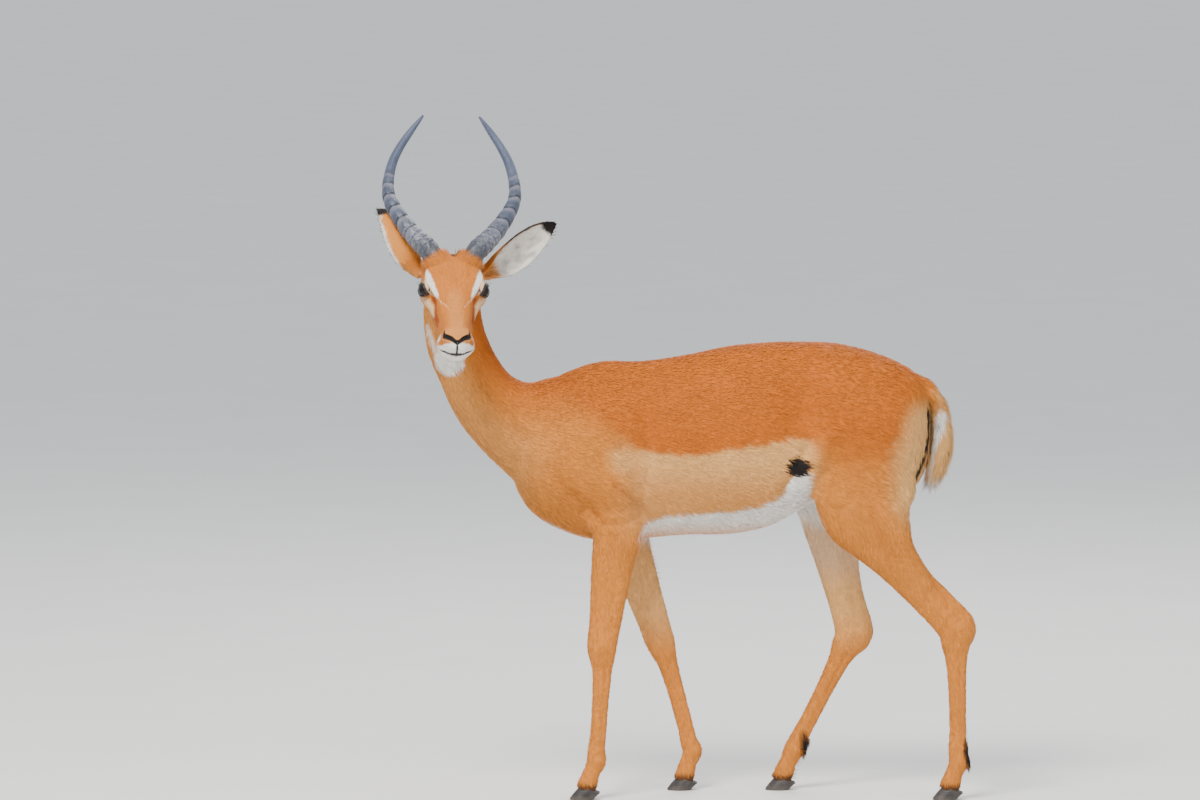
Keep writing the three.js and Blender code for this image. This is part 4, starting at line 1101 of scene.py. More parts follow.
def lie_of_coat(points, normals):
    """The way the hair points: back along the trunk and down its sides, down the neck from
    the head, up the face from the nose, out along the ears, and down the legs and tail."""
    x, _, z = points.T
    down = np.abs(normals[:, 1])
    rear = smooth(0.25, 0.8, normals[:, 0]) * (x > 380)
    way = np.stack([1 - rear, np.zeros(len(x)), -0.42 * down - rear], 1)
    neck_rows = np.asarray(NECK, float)[:, :3]
    stations = line(neck_rows, np.linspace(0, 1, 30))
    nearest = np.argmin(((points[:, None] - stations[None]) ** 2).sum(2), 1)
    neck_way = -tangents(stations)[nearest] + [0.12, 0, 0]
    neck = neck_part(points)[:, None]
    way = way * (1 - neck) + unit(neck_way) * neck
    legs = smooth(640, 520, z)[:, None]
    way = way * (1 - legs) + np.array([0.1, 0, -1]) * legs
    tail_line = line(np.asarray(TAIL, float)[:, :3], np.linspace(0, 1, 40))
    gap = ((points[:, None] - tail_line[None]) ** 2).sum(2)
    near_tail = ((gap.min(1) < 24**2) & (x > 486)).astype(float)[:, None]
    way = way * (1 - near_tail) + tangents(tail_line)[gap.argmin(1)] * near_tail
    head = head_part(points)[:, None]
    local = to_head(points)
    off = local - [0, 236, -22]
    around_nose = smooth(34, 12, np.linalg.norm(off, axis=1))[:, None]
    cheek = smooth(-20, -60, local[:, 2])[:, None]
    head_way = np.array([0, -1, 0.0]) - 0.45 * cheek * Z
    head_way = head_way * (1 - around_nose) + unit(off) * around_nose
    way = way * (1 - head) + (head_way @ HEAD_AXES) * head
    for flank, (_, tip, _) in EARS.items():
        _, centre, _, _, _ = ear_rings(flank)
        gap, along = to_path(points, centre[::8])
        ear = (smooth(0.06, 0.2, along) * (gap < 46))[:, None]
        way = way * (1 - ear) + unit(np.array(tip, float)) * ear
    way = way - (way * normals).sum(1, keepdims=True) * normals
    return unit(way)


def hair_sizes(points):
    """Length, width and lift of a tuft, by where it grows."""
    z = points[:, 2]
    head, ears = head_part(points), ear_part(points)
    local = to_head(points)
    muzzle = smooth(120, 200, local[:, 1]) * head
    legs = smooth(560, 380, z)
    length = 15 * (1 - legs) + 9 * legs
    length = length * (1 - head) + (7.5 - 3.6 * muzzle) * head
    length = length * (1 - ears) + 6 * ears
    width = 1.55 * (1 - legs) + 1.15 * legs
    width = width * (1 - head) + (1.05 - 0.3 * muzzle) * head
    lift = coat_depth(points) * 0.8
    return length, width, lift


def grow(points, normals, ways, length, width, lift, rng, curl=0.12):
    """Points and triangles of flat three-sided tufts. Each starts inside the skin, swells to
    its width half way out, and comes to a point over the skin."""
    n = len(points)
    turn = rng.normal(0, curl, n)[:, None]
    across = np.cross(normals, ways)
    ways = unit(ways + across * turn)
    across = np.cross(normals, ways)
    length = (length * (0.7 + 0.6 * rng.random(n)))[:, None]
    width = (width * (0.75 + 0.5 * rng.random(n)))[:, None]
    lift = (lift * (0.45 + 0.75 * rng.random(n)))[:, None]
    root = points - 0.7 * normals - 0.1 * length * ways
    middle = points + 0.45 * length * ways + lift * normals
    tip = points + length * (ways + 0.6 * turn * across * rng.random(n)[:, None]) + 0.75 * lift * normals
    thick = 0.28 * width * normals
    rows = [root - 0.4 * width * across, root + 0.4 * width * across, root + thick,
            middle - 0.5 * width * across, middle + 0.5 * width * across, middle + thick, tip]
    shape = np.array([[0, 2, 1], [0, 1, 4], [0, 4, 3], [1, 2, 5], [1, 5, 4], [2, 0, 3], [2, 3, 5],
                      [3, 4, 6], [4, 5, 6], [5, 3, 6]])
    verts = np.stack(rows, 1).reshape(-1, 3)
    faces = (np.arange(n)[:, None, None] * 7 + shape[None]).reshape(-1, 3)
    return verts, faces


TUFT_PATCH = 0.003
TUFT_UV = np.array([[-.4, 0], [.4, 0], [0, 0], [-.5, .45], [.5, .45], [0, .45], [0, 1]]) * TUFT_PATCH


def tuft_piece(name, points, normals, unwrapped, material, rng, sizes=None, ways=None, curl=0.12,
               marks=None, soften=0.88):
    """A coat piece from its roots, with the skin's markings at each root, a random shade a
    tuft, and its bake map: a small patch at the root's place on the unwrapped skin."""
    ways = lie_of_coat(points, normals) if ways is None else ways
    sizes = hair_sizes(points) if sizes is None else sizes
    verts, faces = grow(points, normals, ways, *sizes, rng, curl)
    mesh = fill_mesh(name, verts, faces)
    marks = markings(points, normals) if marks is None else marks
    put_marks(mesh, {key: np.repeat(value, 7) for key, value in marks.items()})
    put_attribute(mesh, "strand", np.repeat(rng.random(len(points)), 7))
    layer = mesh.uv_layers.new(name="OFBake")
    patch = (unwrapped[:, None] * 0.99 + 0.004 + TUFT_UV[None]).reshape(-1, 2)
    layer.data.foreach_set("uv", patch[faces.ravel()].astype(np.float32).ravel())
    own = read_normals(mesh)
    blend = unit(own * (1 - soften) + np.repeat(normals, 7, 0) * soften)
    mesh.normals_split_custom_set_from_vertices(blend.astype(np.float32))
    return new_piece(name, mesh, material)


def put_marks(mesh, marks):
    put_attribute(mesh, "marks", np.stack([marks[k] for k in ("tan", "pale", "white", "black")], 1))
    put_attribute(mesh, "deep", marks["deep"])


def triangles_of(mesh):
    mesh.calc_loop_triangles()
    flat = np.empty(len(mesh.loop_triangles) * 3, np.int32)
    mesh.loop_triangles.foreach_get("vertices", flat)
    return flat.reshape(-1, 3)


def scatter(points, normals, triangles, chosen, count, rng, density=None):
    """Seeded random places on the chosen triangles, evenly by area times density."""
    tri = triangles[chosen]
    a, b, c = (points[tri[:, k]] for k in range(3))
    area = np.linalg.norm(np.cross(b - a, c - a), axis=1)
    if density is not None:
        area = area * density(a)
    pick = rng.choice(len(tri), count, p=area / area.sum())
    u, v = rng.random((2, count))
    over = u + v > 1
    u, v = np.where(over, 1 - u, u), np.where(over, 1 - v, v)
    weights = np.stack([1 - u - v, u, v], 1)[..., None]
    corners = tri[pick]
    return (points[corners] * weights).sum(1), unit((normals[corners] * weights).sum(1))


def ring_place(a, b):
    """Angle of (a, b) as a share of a full turn."""
    return np.arctan2(b, a) / (2 * np.pi) + 0.5


def stretch(value):
    return (value - value.min()) / max(np.ptp(value), 1e-6)


def unwrap(kind, points):
    """Places on a cylinder unrolled about a region's own axis, from 0 to 1 both ways."""
    x, y, z = points.T
    if kind == "trunk":
        return np.stack([stretch(x), ring_place(z - 740, y)], 1)
    if kind == "neck":
        return np.stack([ring_place(x + 0.55 * (z - 950) + 480 - 0.2 * (950 - z), y), stretch(z)], 1)
    if kind == "head":
        hx, hy, hz = to_head(points).T
        return np.stack([stretch(hy), ring_place(hz + 50, hx)], 1)
    if kind == "ear":
        left = to_head(points)[:, 0] < 0
        result = np.zeros((len(points), 2))
        for flank, chosen in ((LEFT, left), (RIGHT, ~left)):
            _, centre, side, mouth, _ = ear_rings(flank)
            _, along = to_path(points[chosen], centre[::6])
            here = centre[(along * (len(centre) - 1)).astype(int)]
            off = points[chosen] - here
            result[chosen] = np.stack([along * 0.49 + (0.5 if flank == RIGHT else 0),
                                       ring_place(off @ mouth, off @ side)], 1)
        return result
    middle = np.interp(z, np.sort(z)[:: max(len(z) // 40, 1)],
                       [x[np.abs(z - h) < 25].mean() for h in np.sort(z)[:: max(len(z) // 40, 1)]])
    return np.stack([ring_place(x - middle, y - y.mean()), stretch(z)], 1)


LEG_TOP = 560  # height where the legs' coats end
BARREL_START, BARREL_END, FORE_END = -70, 180, 110  # places along X between the coat pieces
COAT_PIECES = [  # name, unwrap, tufts
    ("coat_shoulders", "trunk", 19000), ("coat_barrel", "trunk", 19000),
    ("coat_haunches", "trunk", 19000), ("coat_neck", "neck", 17000),
    ("coat_head", "head", 19500), ("coat_ears", "ear", 8000),
    ("coat_foreleg_left", "leg", 7500), ("coat_foreleg_right", "leg", 7500),
    ("coat_hindleg_left", "leg", 9500), ("coat_hindleg_right", "leg", 9500),
]


def coat_places(middle):
    """For each coat piece, True for the triangles of the skin that it grows on."""
    x, y, z = middle.T
    head, ears, neck = (part(middle) >= share for part, share in (
        (head_part, 0.5), (ear_part, 0.3), (neck_part, 0.5)))
    body, front = z > LEG_TOP, x < BARREL_START
    fore, left = x < FORE_END, y < 0
    return {
        "coat_shoulders": body & front & ~neck & ~head,
        "coat_barrel": body & ~front & (x < BARREL_END),
        "coat_haunches": body & (x >= BARREL_END),
        "coat_neck": body & front & neck & ~head,
        "coat_head": head & ~ears,
        "coat_ears": head & ears,
        "coat_foreleg_left": ~body & fore & left,
        "coat_foreleg_right": ~body & fore & ~left,
        "coat_hindleg_left": ~body & ~fore & left,
        "coat_hindleg_right": ~body & ~fore & ~left,
    }

# ------------------------------------------------------------------ materials


class Shader:
    """Short calls that add and link the nodes of one material."""

    def __init__(self, name):
        self.material = bpy.data.materials.new(name)
        self.material.use_nodes = True
        self.tree = self.material.node_tree
        self.tree.nodes.clear()

    def put(self, node, key, value):
        if isinstance(value, bpy.types.NodeSocket):
            self.tree.links.new(value, node.inputs[key])
        elif value is not None:
            socket = node.inputs[key]
            if hasattr(socket.default_value, "__len__") and len(socket.default_value) == 4:
                value = (*value[:3], 1.0)
            socket.default_value = value

    def add(self, kind, inputs=(), out=0, **settings):
        node = self.tree.nodes.new("ShaderNode" + kind)
        for key, value in settings.items():
            setattr(node, key, value)
        for key, value in dict(inputs).items():
            self.put(node, key, value)
        return node.outputs[out]

    def attribute(self, name, out="Fac"):
        return self.add("Attribute", attribute_name=name, out=out)

    def place(self):
        return self.add("TexCoord", out="Object")

    def noise(self, scale, detail=3.0, rough=0.6, vector=None):
        return self.add("TexNoise", {"Vector": vector or self.place(), "Scale": scale,
                                     "Detail": detail, "Roughness": rough})

    def mix(self, share, a, b, blend="MIX"):
        return self.add("Mix", {0: share, 6: a, 7: b}, out=2, data_type="RGBA", blend_type=blend)

    def math(self, kind, a, b=None, c=None):
        inputs = {0: a}
        if b is not None:
            inputs[1] = b
        if c is not None:
            inputs[2] = c
        return self.add("Math", inputs, operation=kind)

    def ramp(self, value, low, high, to_low=0.0, to_high=1.0):
        return self.add("MapRange", {"Value": value, "From Min": low, "From Max": high,
                                     "To Min": to_low, "To Max": to_high})

    def bump(self, height, strength, distance, normal=None):
        inputs = {"Height": height, "Strength": strength, "Distance": distance}
        if normal is not None:
            inputs["Normal"] = normal
        return self.add("Bump", inputs)

    def finish(self, **inputs):
        """Closes the material with a Principled surface; underscores stand for spaces."""
        surface = self.add("BsdfPrincipled", {k.replace("_", " "): v for k, v in inputs.items()})
        output = self.tree.nodes.new("ShaderNodeOutputMaterial")
        self.tree.links.new(surface, output.inputs["Surface"])
        return self.material


COAT_COLOURS = {  # linear
    "rufous": (0.54, 0.130, 0.010), "tan": (0.65, 0.215, 0.030), "pale": (0.76, 0.41, 0.145),
    # deep is the coat's darkest red, and also paints shade in creases and on the withers' top
    "white": (0.84, 0.80, 0.73), "black": (0.012, 0.009, 0.008), "deep": (0.36, 0.070, 0.007),
}


def coat_material(name, strands):
    """Coat colours laid over each other by the marks attribute, mottled by noise, with a
    random shade on each strand, and a fine grain in the surface of the skin itself."""
    s = Shader(name)
    chosen = {key: tuple(getattr(bpy.context.scene.impala, key)) for key in COAT_COLOURS}
    marks = s.add("SeparateColor", {"Color": s.attribute("marks", "Color")}, out=0)
    split = marks.node
    alpha = s.attribute("marks", "Alpha")
    colour = s.mix(split.outputs[0], chosen["rufous"], chosen["tan"])
    # deep red, also painted shade in the creases and on the withers' top
    colour = s.mix(s.attribute("deep"), colour, chosen["deep"])
    colour = s.mix(split.outputs[1], colour, chosen["pale"])
    colour = s.mix(split.outputs[2], colour, chosen["white"])
    patchy = s.ramp(s.noise(14.0, 3.0), 0.3, 0.7, 0.94, 1.06)
    fine = s.ramp(s.noise(620.0, 3.0, 0.7), 0.3, 0.7, 0.84, 1.14)
    shade = s.math("MULTIPLY", patchy, fine)
    if strands:
        strand = s.ramp(s.attribute("strand"), 0.0, 1.0, 0.84, 1.15)
        shade = s.math("MULTIPLY", shade, strand)
    level = s.add("CombineColor", {0: shade, 1: shade, 2: shade})
    colour = s.mix(1.0, colour, level, "MULTIPLY")
    colour = s.mix(alpha, colour, chosen["black"])
    grain = s.bump(s.noise(900.0, 4.0, 0.75), 0.5, 0.0012)
    grain = s.bump(s.noise(160.0, 3.0, 0.6), 0.35, 0.0025, grain)
    rough = s.ramp(s.noise(70.0), 0.3, 0.7, 0.58, 0.72)
    return s.finish(Base_Color=colour, Roughness=rough, Normal=grain, Specular_IOR_Level=0.16,
                    Sheen_Weight=0.03, Sheen_Roughness=0.45)


def horn_material():
    """Grey horn with a painted blue sky reflection, bluest on the smooth upper part: paler
    on the ring crests, with painted shade near black in the grooves, scruffy near the root.
    """
    s = Shader("horn")
    groove, along, crest = (s.attribute(name) for name in ("groove", "along", "crest"))
    mottle = s.ramp(s.noise(46.0, 5.0, 0.65), 0.3, 0.7)
    # the grey is the horn's own; its blue tint is painted sky reflection
    base = s.mix(mottle, (0.030, 0.038, 0.062), (0.085, 0.100, 0.150))
    base = s.mix(s.math("MULTIPLY", crest, 0.55), base, (0.20, 0.19, 0.235))
    scruffy = s.math("MULTIPLY", s.ramp(along, 0.34, 0.2), s.ramp(s.noise(210.0, 5.0, 0.7), 0.45, 0.62))
    base = s.mix(scruffy, base, (0.24, 0.24, 0.255))
    base = s.mix(s.ramp(along, 0.18, 0.07, 0.0, 0.75), base, (0.022, 0.026, 0.034))
    # painted sky reflection: the smooth upper part turns bluer
    base = s.mix(s.ramp(along, 0.60, 0.75, 0.0, 0.5), base, (0.060, 0.082, 0.150))
    # painted shade: the grooves between the rings turn near black
    base = s.mix(s.math("MULTIPLY", groove, 0.88), base, (0.008, 0.008, 0.012))
    grain = s.bump(s.noise(700.0, 4.0, 0.7), 0.45, 0.0008)
    grain = s.bump(s.noise(130.0, 3.0, 0.6), 0.5, 0.0018, grain)
    rough = s.ramp(s.noise(90.0), 0.3, 0.7, 0.34, 0.52)
    return s.finish(Base_Color=base, Roughness=rough, Normal=grain, Specular_IOR_Level=0.5)


def hoof_material():
    s = Shader("hoof")
    base = s.mix(s.ramp(s.noise(60.0, 4.0), 0.3, 0.7), (0.018, 0.015, 0.014), (0.06, 0.05, 0.045))
    height = s.add("SeparateXYZ", {"Vector": s.place()}, out=2)
    rings = s.add("TexWave", {"Vector": s.place(), "Scale": 95.0, "Distortion": 1.4, "Detail": 2.0},
                  bands_direction="Z", wave_type="BANDS")
    dust = s.ramp(height, 0.012, 0.0, 0.0, 0.55)
    base = s.mix(s.math("MULTIPLY", dust, s.noise(150.0)), base, (0.20, 0.16, 0.12))
    grain = s.bump(rings.node.outputs["Fac"], 0.35, 0.0006)
    grain = s.bump(s.noise(500.0), 0.4, 0.0005, grain)
    return s.finish(Base_Color=base, Roughness=s.ramp(s.noise(120.0), 0.3, 0.7, 0.36, 0.55),
                    Normal=grain, Specular_IOR_Level=0.5)


def eye_material():
    """Dark brown eye with a level black pupil, glossy all over."""
    s = Shader("eye")
    iris = s.attribute("iris")
    speck = s.noise(900.0, 3.0, 0.6)
    colour = s.mix(s.ramp(speck, 0.3, 0.7), (0.006, 0.003, 0.002), (0.014, 0.007, 0.004))
    colour = s.mix(s.ramp(s.attribute("pupil"), 1.15, 0.85), colour, (0.002, 0.002, 0.004))
    colour = s.mix(s.ramp(iris, 44.0, 56.0), colour, (0.010, 0.005, 0.004))
    colour = s.mix(s.ramp(iris, 66.0, 84.0), colour, (0.012, 0.008, 0.007))
    return s.finish(Base_Color=colour, Roughness=0.06, Specular_IOR_Level=0.25)


def lid_material():
    s = Shader("eyelid")
    colour = s.mix(s.ramp(s.noise(500.0), 0.3, 0.7), (0.010, 0.008, 0.007), (0.030, 0.022, 0.018))
    return s.finish(Base_Color=colour, Roughness=s.ramp(s.noise(300.0), 0.3, 0.7, 0.3, 0.5),
                    Normal=s.bump(s.noise(900.0), 0.3, 0.0004), Specular_IOR_Level=0.5)


def floor_material():
    s = Shader("floor")
    colour = s.mix(s.ramp(s.noise(3.0), 0.3, 0.7), (0.80, 0.79, 0.77), (0.83, 0.82, 0.80))
    return s.finish(Base_Color=colour, Roughness=0.85, Specular_IOR_Level=0.2)


# ------------------------------------------------------------------ settings and operators

FLOOR_HALF = 90.0
WORLD_STRENGTH = 1.0
CAMERA_TARGET, CAMERA_DISTANCE, CAMERA_ELEVATION, CAMERA_LENS = (-196, 0, 819.6), 18.0, 5.0, 261.9
LIGHTS = [  # name, place from the object's middle, size, power, colour
    ("key", (-1.6, -3.4, 4.2), 2.0, 400, (1.0, 0.97, 0.92)),
    ("fill", (3.4, -3.2, 1.6), 3.0, 50, (0.92, 0.95, 1.0)),
    ("back", (1.0, 3.6, 3.8), 2.6, 150, (1.0, 0.98, 0.95)),
]


def coat_colour(name, description):
    """A colour that a user may change, starting from the coat's own."""
    return FloatVectorProperty(name=name, description=description, subtype="COLOR", size=3,
                               min=0.0, max=1.0, default=COAT_COLOURS[name.lower()])


class ImpalaSettings(bpy.types.PropertyGroup):
    voxel: FloatProperty(name="Skin voxel", description="Size of the voxels that join the flesh, "
                         "in millimetres", default=2.2, min=1.5, max=6.0)
    skin_faces: IntProperty(name="Skin triangles", description="Most triangles kept in the skin",
                            default=194000, min=40000, max=199000)
    tuft_share: FloatProperty(name="Tufts", description="Share of the coat's tufts that grow",
                              default=1.0, min=0.02, max=1.0, subtype="FACTOR")
    seed: IntProperty(name="Seed", description="Seed of every random draw", default=7)
    rufous: coat_colour("Rufous", "Coat of the back and the haunches")
    tan: coat_colour("Tan", "Coat of the shoulders, the legs and the face")
    pale: coat_colour("Pale", "Coat of the flanks and the rump")
    white: coat_colour("White", "Coat of the belly, the throat and the brow streaks")
    black: coat_colour("Black", "Black marks of the coat")
    # Deep also paints the shade in creases and the darker rim on the withers' top
    deep: coat_colour("Deep", "Darkest red of the coat, in creases and along the back")


class Make:
    """Shared by the operators, which all work once and can't be undone in part."""
    bl_options = {"REGISTER"}

    @classmethod
    def poll(cls, context):
        return context.mode == "OBJECT"


class IMPALA_OT_skin(Make, bpy.types.Operator):
    """Join the flesh in one skin with its folds and markings"""
    bl_idname = "impala.skin"
    bl_label = "Make skin"

    def execute(self, context):
        settings = context.scene.impala
        mesh = make_skin_mesh(settings.voxel)
        mesh = thinned(mesh, settings.skin_faces)
        points, normals = read_points(mesh), read_normals(mesh)
        put_marks(mesh, markings(points, normals))
        skin = new_piece("skin", mesh, coat_material("hide", False))
        mesh.polygons.foreach_set("use_smooth", np.ones(len(mesh.polygons), bool))
        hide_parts(*FLESH)
        return {"FINISHED"}


MOST_TRIANGLES = 199500  # in one piece


def thinned(mesh, most):
    """Decimates a skin to the wanted number of triangles, mostly off the head."""
    obj = bpy.data.objects.new("thinning", mesh)
    bpy.context.scene.collection.objects.link(obj)
    group = obj.vertex_groups.new(name="detail")
    head = head_part(read_points(mesh)) > 0.5
    group.add(np.nonzero(head)[0].tolist(), 0.05, "REPLACE")
    group.add(np.nonzero(~head)[0].tolist(), 1.0, "REPLACE")
    made = finished(obj, kind="TRIANGULATE")
    obj.data = made
    ratio = most / len(made.polygons)
    made = finished(obj, kind="DECIMATE", ratio=ratio * 0.98, vertex_group="detail",
                    vertex_group_factor=1.0)
    bpy.data.objects.remove(obj)
    if len(made.polygons) > MOST_TRIANGLES:
        raise RuntimeError("the skin has too many triangles")
    return made


class IMPALA_OT_eyes(Make, bpy.types.Operator):
    """Make both eyeballs and the dark rims of their lids"""
    bl_idname = "impala.eyes"
    bl_label = "Make eyes"

    def execute(self, context):
        eye, rim = eye_material(), lid_material()
        for flank, side in ((LEFT, "left"), (RIGHT, "right")):
            points, faces, iris, pupil = eyeball_form(flank)
            mesh = fill_mesh("eye", points, faces)
            put_attribute(mesh, "iris", iris)
            put_attribute(mesh, "pupil", pupil)
            ball = new_piece(f"eyeball_{side}", mesh, eye)
            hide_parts(f"eye_{side}")
            new_piece(f"eyelids_{side}", fill_mesh("lids", *eyelid_form(flank)), rim)
        return {"FINISHED"}


class IMPALA_OT_horns(Make, bpy.types.Operator):
    """Make both ringed horns"""
    bl_idname = "impala.horns"
    bl_label = "Make horns"

    def execute(self, context):
        material = horn_material()
        for flank, side in ((LEFT, "left"), (RIGHT, "right")):
            points, faces, along, groove, crest = horn_form(flank)
            mesh = fill_mesh("horn", points, faces)
            put_attribute(mesh, "along", along)
            put_attribute(mesh, "groove", groove)
            put_attribute(mesh, "crest", crest)
            horn = new_piece(f"ringed_horn_{side}", mesh, material)
            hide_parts(f"horn_{side}")
        return {"FINISHED"}


class IMPALA_OT_hooves(Make, bpy.types.Operator):
    """Make the two claws of each foot"""
    bl_idname = "impala.hooves"
    bl_label = "Make hooves"

    def execute(self, context):
        material = hoof_material()
        for (kind, flank), joints in LEGS.items():
            side = "left" if flank == LEFT else "right"
            for claw, part in ((flank, "outer"), (-flank, "inner")):
                mesh = fill_mesh("claw", *claw_form(joints[-1], claw))
                hoof = new_piece(f"hoof_{kind}_{side}_{part}", mesh, material)
                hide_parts(f"{kind}leg_{side}_claw_{part}")
        return {"FINISHED"}


class IMPALA_OT_coat(Make, bpy.types.Operator):
    """Grow the short coat over the skin"""
    bl_idname = "impala.coat"
    bl_label = "Grow coat"

    def execute(self, context):
        settings = context.scene.impala
        mesh = bpy.data.objects["skin"].data
        points, normals, triangles = read_points(mesh), read_normals(mesh), triangles_of(mesh)
        middle = points[triangles].mean(1)
        places, skip = coat_places(middle), bare_places(middle)
        material = coat_material("fur", True)
        for number, (name, kind, count) in enumerate(COAT_PIECES):
            rng = np.random.default_rng(settings.seed + number)
            chosen = places[name] & ~skip
            roots, ways = scatter(points, normals, triangles, np.nonzero(chosen)[0],
                                  int(count * settings.tuft_share), rng)
            tuft_piece(name, roots, ways, unwrap(kind, roots), material, rng)
        return {"FINISHED"}


def horn_line(flank):
    """Centre line, directions and radii of a horn's first quarter."""
    rows = np.asarray(HORN_LINE, float)
    centre = line(about_brow(rows[:, 0] * flank, rows[:, 1], rows[:, 2]), np.linspace(0, 0.25, 30))
    return centre, tangents(centre), rows[0, 3]


def tail_hair(points, normals):
    """Where the tail's fringe grows, and its ways: down the tail, away from its middle."""
    middle = line(np.asarray(TAIL, float)[:, :3], np.linspace(0, 1, 60))
    gap = np.linalg.norm(points[:, None] - middle[None], axis=2)
    near = gap.argmin(1)
    on = (gap.min(1) < 30) & (points[:, 0] > 478) & (points[:, 2] < 835)
    return on, unit(tangents(middle)[near] + 0.30 * normals)


def ear_hair(points, normals):
    """Where the ears' lower fringe and inner hair grow, and their ways: off the edge, and
    along the hollow."""
    on, ways = np.zeros(len(points), bool), np.tile(X, (len(points), 1)).astype(float)
    left = to_head(points)[:, 0] < 0
    for flank, own in ((LEFT, left), (RIGHT, ~left)):
        _, centre, side, mouth, _ = ear_rings(flank)
        _, place = to_path(points, centre[::3])
        off = points - centre[np.clip((place * (len(centre) - 1)).astype(int), 0, len(centre) - 1)]
        high = side if side[2] > 0 else -side
        upper = np.degrees(np.arctan2(off @ high, -(off @ mouth)))
        radius, rim, wall = columns(EAR_BODY, place).T
        edge = (upper < -rim + 24) & (upper > -rim - 12)
        inside = np.hypot(off @ side, off @ mouth) < radius - 0.5 * wall
        inside &= place < 0.75
        chosen = own & (place > 0.1) & (place < 0.93) & (edge | inside)
        along = unit(centre[-1] - centre[0])
        way = np.where(edge[:, None], 0.8 * along - 0.75 * high, along + 0.25 * mouth)
        on |= chosen
        ways[chosen] = unit(way)[chosen]
    return on, ways


def horn_root_hair(points, normals):
    """Where the collar about the horns' roots grows, and its ways: up along the horn."""
    on, ways = np.zeros(len(points), bool), np.tile(Z, (len(points), 1)).astype(float)
    for flank in (LEFT, RIGHT):
        centre, ahead, radius = horn_line(flank)
        gap = np.linalg.norm(points[:, None] - centre[None, :6], axis=2).min(1)
        chosen = (gap < radius + 9) & (head_part(points) > 0.9)
        on |= chosen
        ways[chosen] = unit(ahead[2] + 0.12 * normals[chosen])
    return on, ways


def gland_hair(points, normals):
    """Where the hind fetlocks' dark tufts grow, and their ways: down and a little back."""
    on = np.zeros(len(points), bool)
    for flank in (LEFT, RIGHT):
        fetlock = np.array(LEGS["hind", flank][4], float)
        on |= np.linalg.norm((points - fetlock - [20, 0, 22]) / [13, 16, 34], axis=1) < 1.0
    return on, np.tile(unit(np.array([0.35, 0, -1.0])), (len(points), 1))


# name, unwrap, how it grows, tufts, length, width, lift
LONG_HAIR = [
    ("coat_tail_fringe", "leg", tail_hair, 5200, 27, 1.3, 2.0),
    ("coat_ear_fringe", "ear", ear_hair, 3600, 11, 0.75, 1.2),
    ("coat_horn_roots", "head", horn_root_hair, 2600, 14, 1.0, 1.0),
    ("coat_glands", "leg", gland_hair, 1100, 13, 1.2, 1.4),
]


class IMPALA_OT_long_hair(Make, bpy.types.Operator):
    """Grow the tail's fringe, the ears' fringe, the horn collars, the glands and the lashes"""
    bl_idname = "impala.long_hair"
    bl_label = "Grow long hair"

    def execute(self, context):
        settings = context.scene.impala
        mesh = bpy.data.objects["skin"].data
        points, normals, triangles = read_points(mesh), read_normals(mesh), triangles_of(mesh)
        middle = points[triangles].mean(1)
        facing = unit(normals[triangles].mean(1))
        material = bpy.data.materials["fur"]
        for number, (name, kind, grown, count, *size) in enumerate(LONG_HAIR):
            rng = np.random.default_rng(settings.seed + 100 + number)
            on, _ = grown(middle, facing)
            if not on.any():
                raise RuntimeError(f"no place for {name}")
            count = int(count * settings.tuft_share)
            roots, ways = scatter(points, normals, triangles, np.nonzero(on)[0], count, rng)
            sizes = tuple(np.full(count, float(value)) for value in size)
            tuft_piece(name, roots, ways, unwrap(kind, roots), material, rng, sizes,
                       grown(roots, ways)[1], curl=0.16)
        roots, ways = lash_roots()
        rng = np.random.default_rng(settings.seed + 200)
        n = len(roots)
        marks = dict(tan=np.ones(n), pale=np.zeros(n), white=np.zeros(n), black=np.ones(n),
                     deep=np.zeros(n))
        outs = unit(roots - np.array([from_head(mirrored(EYE_PLACE, f)) for f in
                                      np.where(to_head(roots)[:, 0] < 0, LEFT, RIGHT)]))
        tuft_piece("coat_lashes", roots, outs, unwrap("head", roots), material, rng,
                   (np.full(n, 9.0), np.full(n, 0.7), np.full(n, 0.8)), ways, 0.1, marks)
        return {"FINISHED"}


def lash_roots():
    """Places along the upper lids, and the ways of their lashes: out, up and to the ends."""
    roots, ways = [], []
    for flank in (LEFT, RIGHT):
        centre, out, long, high = eye_frame(flank)
        turn = np.radians(np.linspace(12, 168, 60))
        c, s = np.cos(turn), np.sin(turn)
        size = (np.abs(c) ** LID_POWER + np.abs(s) ** LID_POWER) ** (-1 / LID_POWER)
        along, across = np.radians(LID_LONG * c * size), np.radians(LID_HIGH * s * size)
        way = unit(out + np.tan(along)[:, None] * long + np.tan(across)[:, None] * high)
        roots.append(from_head(centre + way * (EYE_RADIUS + 1.8)))
        sweep_way = unit(way + 0.35 * high + 0.3 * c[:, None] * long)
        ways.append(sweep_way @ HEAD_AXES)
    return np.vstack(roots), np.vstack(ways)


def bare_places(points):
    """True where no hair grows: the eyes' openings, nostrils, nose pad and under the hooves'
    edges."""
    head = to_head(points)
    bare = np.zeros(len(points), bool)
    for flank in (LEFT, RIGHT):
        radius, _, _, span, ahead = lid_angles(head, flank)
        bare |= (span < 1.12) & ahead & (radius < 32)
        gap, along = to_path(head, mirrored(NOSTRIL, flank))
        bare |= gap < np.interp(along, *NOSTRIL_WIDTH) + 1.0
    gap, _ = to_path(head, PHILTRUM[:3])
    bare |= gap < 6
    return bare | (points[:, 2] < 32)


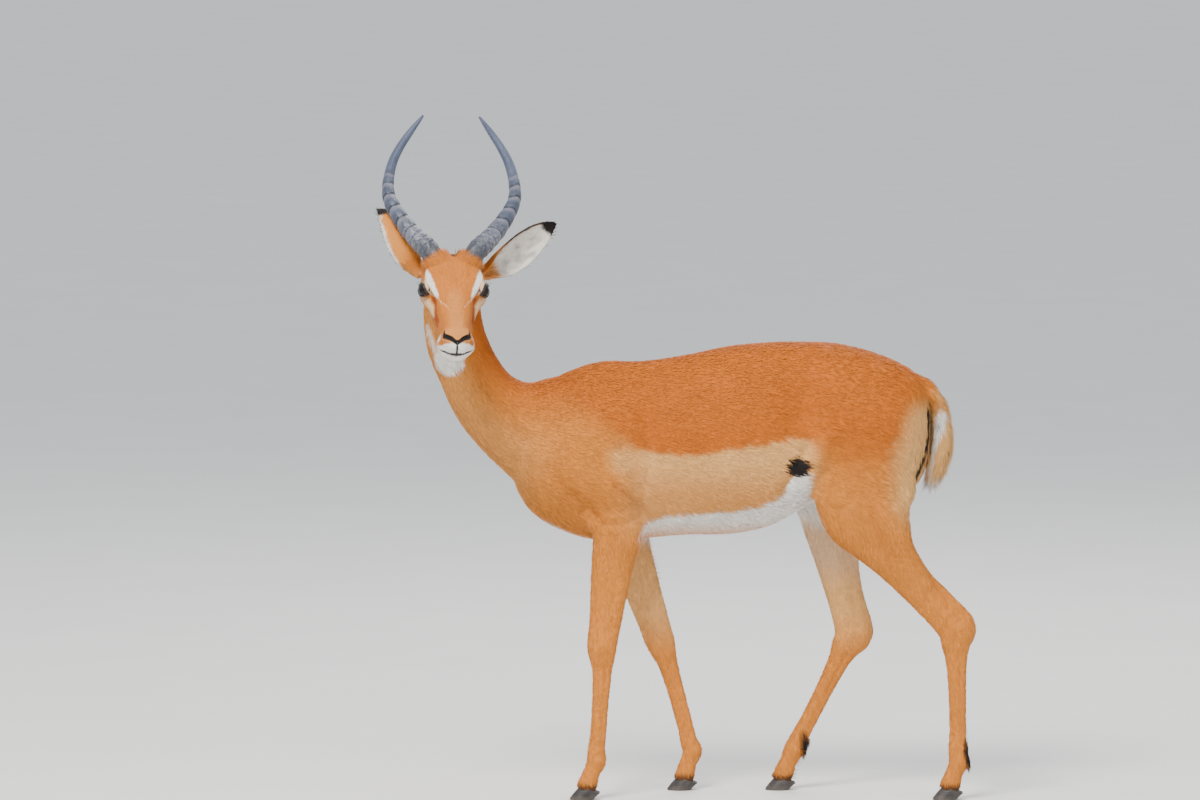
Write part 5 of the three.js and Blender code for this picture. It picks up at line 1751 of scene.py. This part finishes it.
class IMPALA_OT_stage(Make, bpy.types.Operator):
    """Set the floor, the studio lights and the camera"""
    bl_idname = "impala.stage"
    bl_label = "Set stage"

    def execute(self, context):
        low, high = (np.array(v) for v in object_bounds())
        middle = (low + high) / 2
        floor = bpy.data.meshes.new("floor")
        a = FLOOR_HALF
        floor.from_pydata([(-a, -a, 0), (a, -a, 0), (a, a, 0), (-a, a, 0)], [], [(0, 1, 2, 3)])
        ground = bpy.data.objects.new("floor", floor)
        floor.materials.append(floor_material())
        context.scene.collection.objects.link(ground)
        staged = [ground]
        for name, place, size, power, colour in LIGHTS:
            light = bpy.data.lights.new(name, "AREA")
            light.shape, light.size = "SQUARE", size
            light.energy, light.color = power, colour
            lamp = bpy.data.objects.new(name, light)
            lamp.location = Vector(middle) + Vector(place)
            lamp.rotation_euler = (-Vector(place)).to_track_quat("-Z", "Y").to_euler()
            context.scene.collection.objects.link(lamp)
            staged.append(lamp)
        world = bpy.data.worlds.new("studio")
        world.use_nodes = True
        background = world.node_tree.nodes["Background"]
        background.inputs["Color"].default_value = (0.86, 0.90, 0.95, 1)
        background.inputs["Strength"].default_value = WORLD_STRENGTH
        context.scene.world = world
        view = bpy.data.cameras.new("camera")
        view.lens, view.sensor_width = CAMERA_LENS, 36
        view.clip_end = 100
        camera = bpy.data.objects.new("camera", view)
        tilt = math.radians(CAMERA_ELEVATION)
        target = (np.array(CAMERA_TARGET) + SHIFT) * MM
        camera.location = target + CAMERA_DISTANCE * np.array([0, -math.cos(tilt), math.sin(tilt)])
        camera.rotation_euler = (math.pi / 2 - tilt, 0, 0)
        context.scene.collection.objects.link(camera)
        context.scene.camera = camera
        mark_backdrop(*staged)
        return {"FINISHED"}


CLASSES = (ImpalaSettings, IMPALA_OT_skin, IMPALA_OT_eyes, IMPALA_OT_horns, IMPALA_OT_hooves,
           IMPALA_OT_coat, IMPALA_OT_long_hair, IMPALA_OT_stage)


class IMPALA_PT_panel(bpy.types.Panel):
    bl_label = "Impala ram"
    bl_idname = "IMPALA_PT_panel"
    bl_space_type = "VIEW_3D"
    bl_region_type = "UI"
    bl_category = "Impala"

    def draw(self, context):
        for name in ImpalaSettings.__annotations__:
            self.layout.prop(context.scene.impala, name)
        for cls in CLASSES[1:]:
            self.layout.operator(cls.bl_idname)


def register():
    for cls in (*CLASSES, IMPALA_PT_panel):
        bpy.utils.register_class(cls)
    bpy.types.Scene.impala = PointerProperty(type=ImpalaSettings)


def unregister():
    del bpy.types.Scene.impala
    for cls in reversed((*CLASSES, IMPALA_PT_panel)):
        bpy.utils.unregister_class(cls)


def main():
    register()
    for cls in CLASSES[1:]:
        group, name = cls.bl_idname.split(".")
        getattr(getattr(bpy.ops, group), name)()


if __name__ == "__main__":
    main()
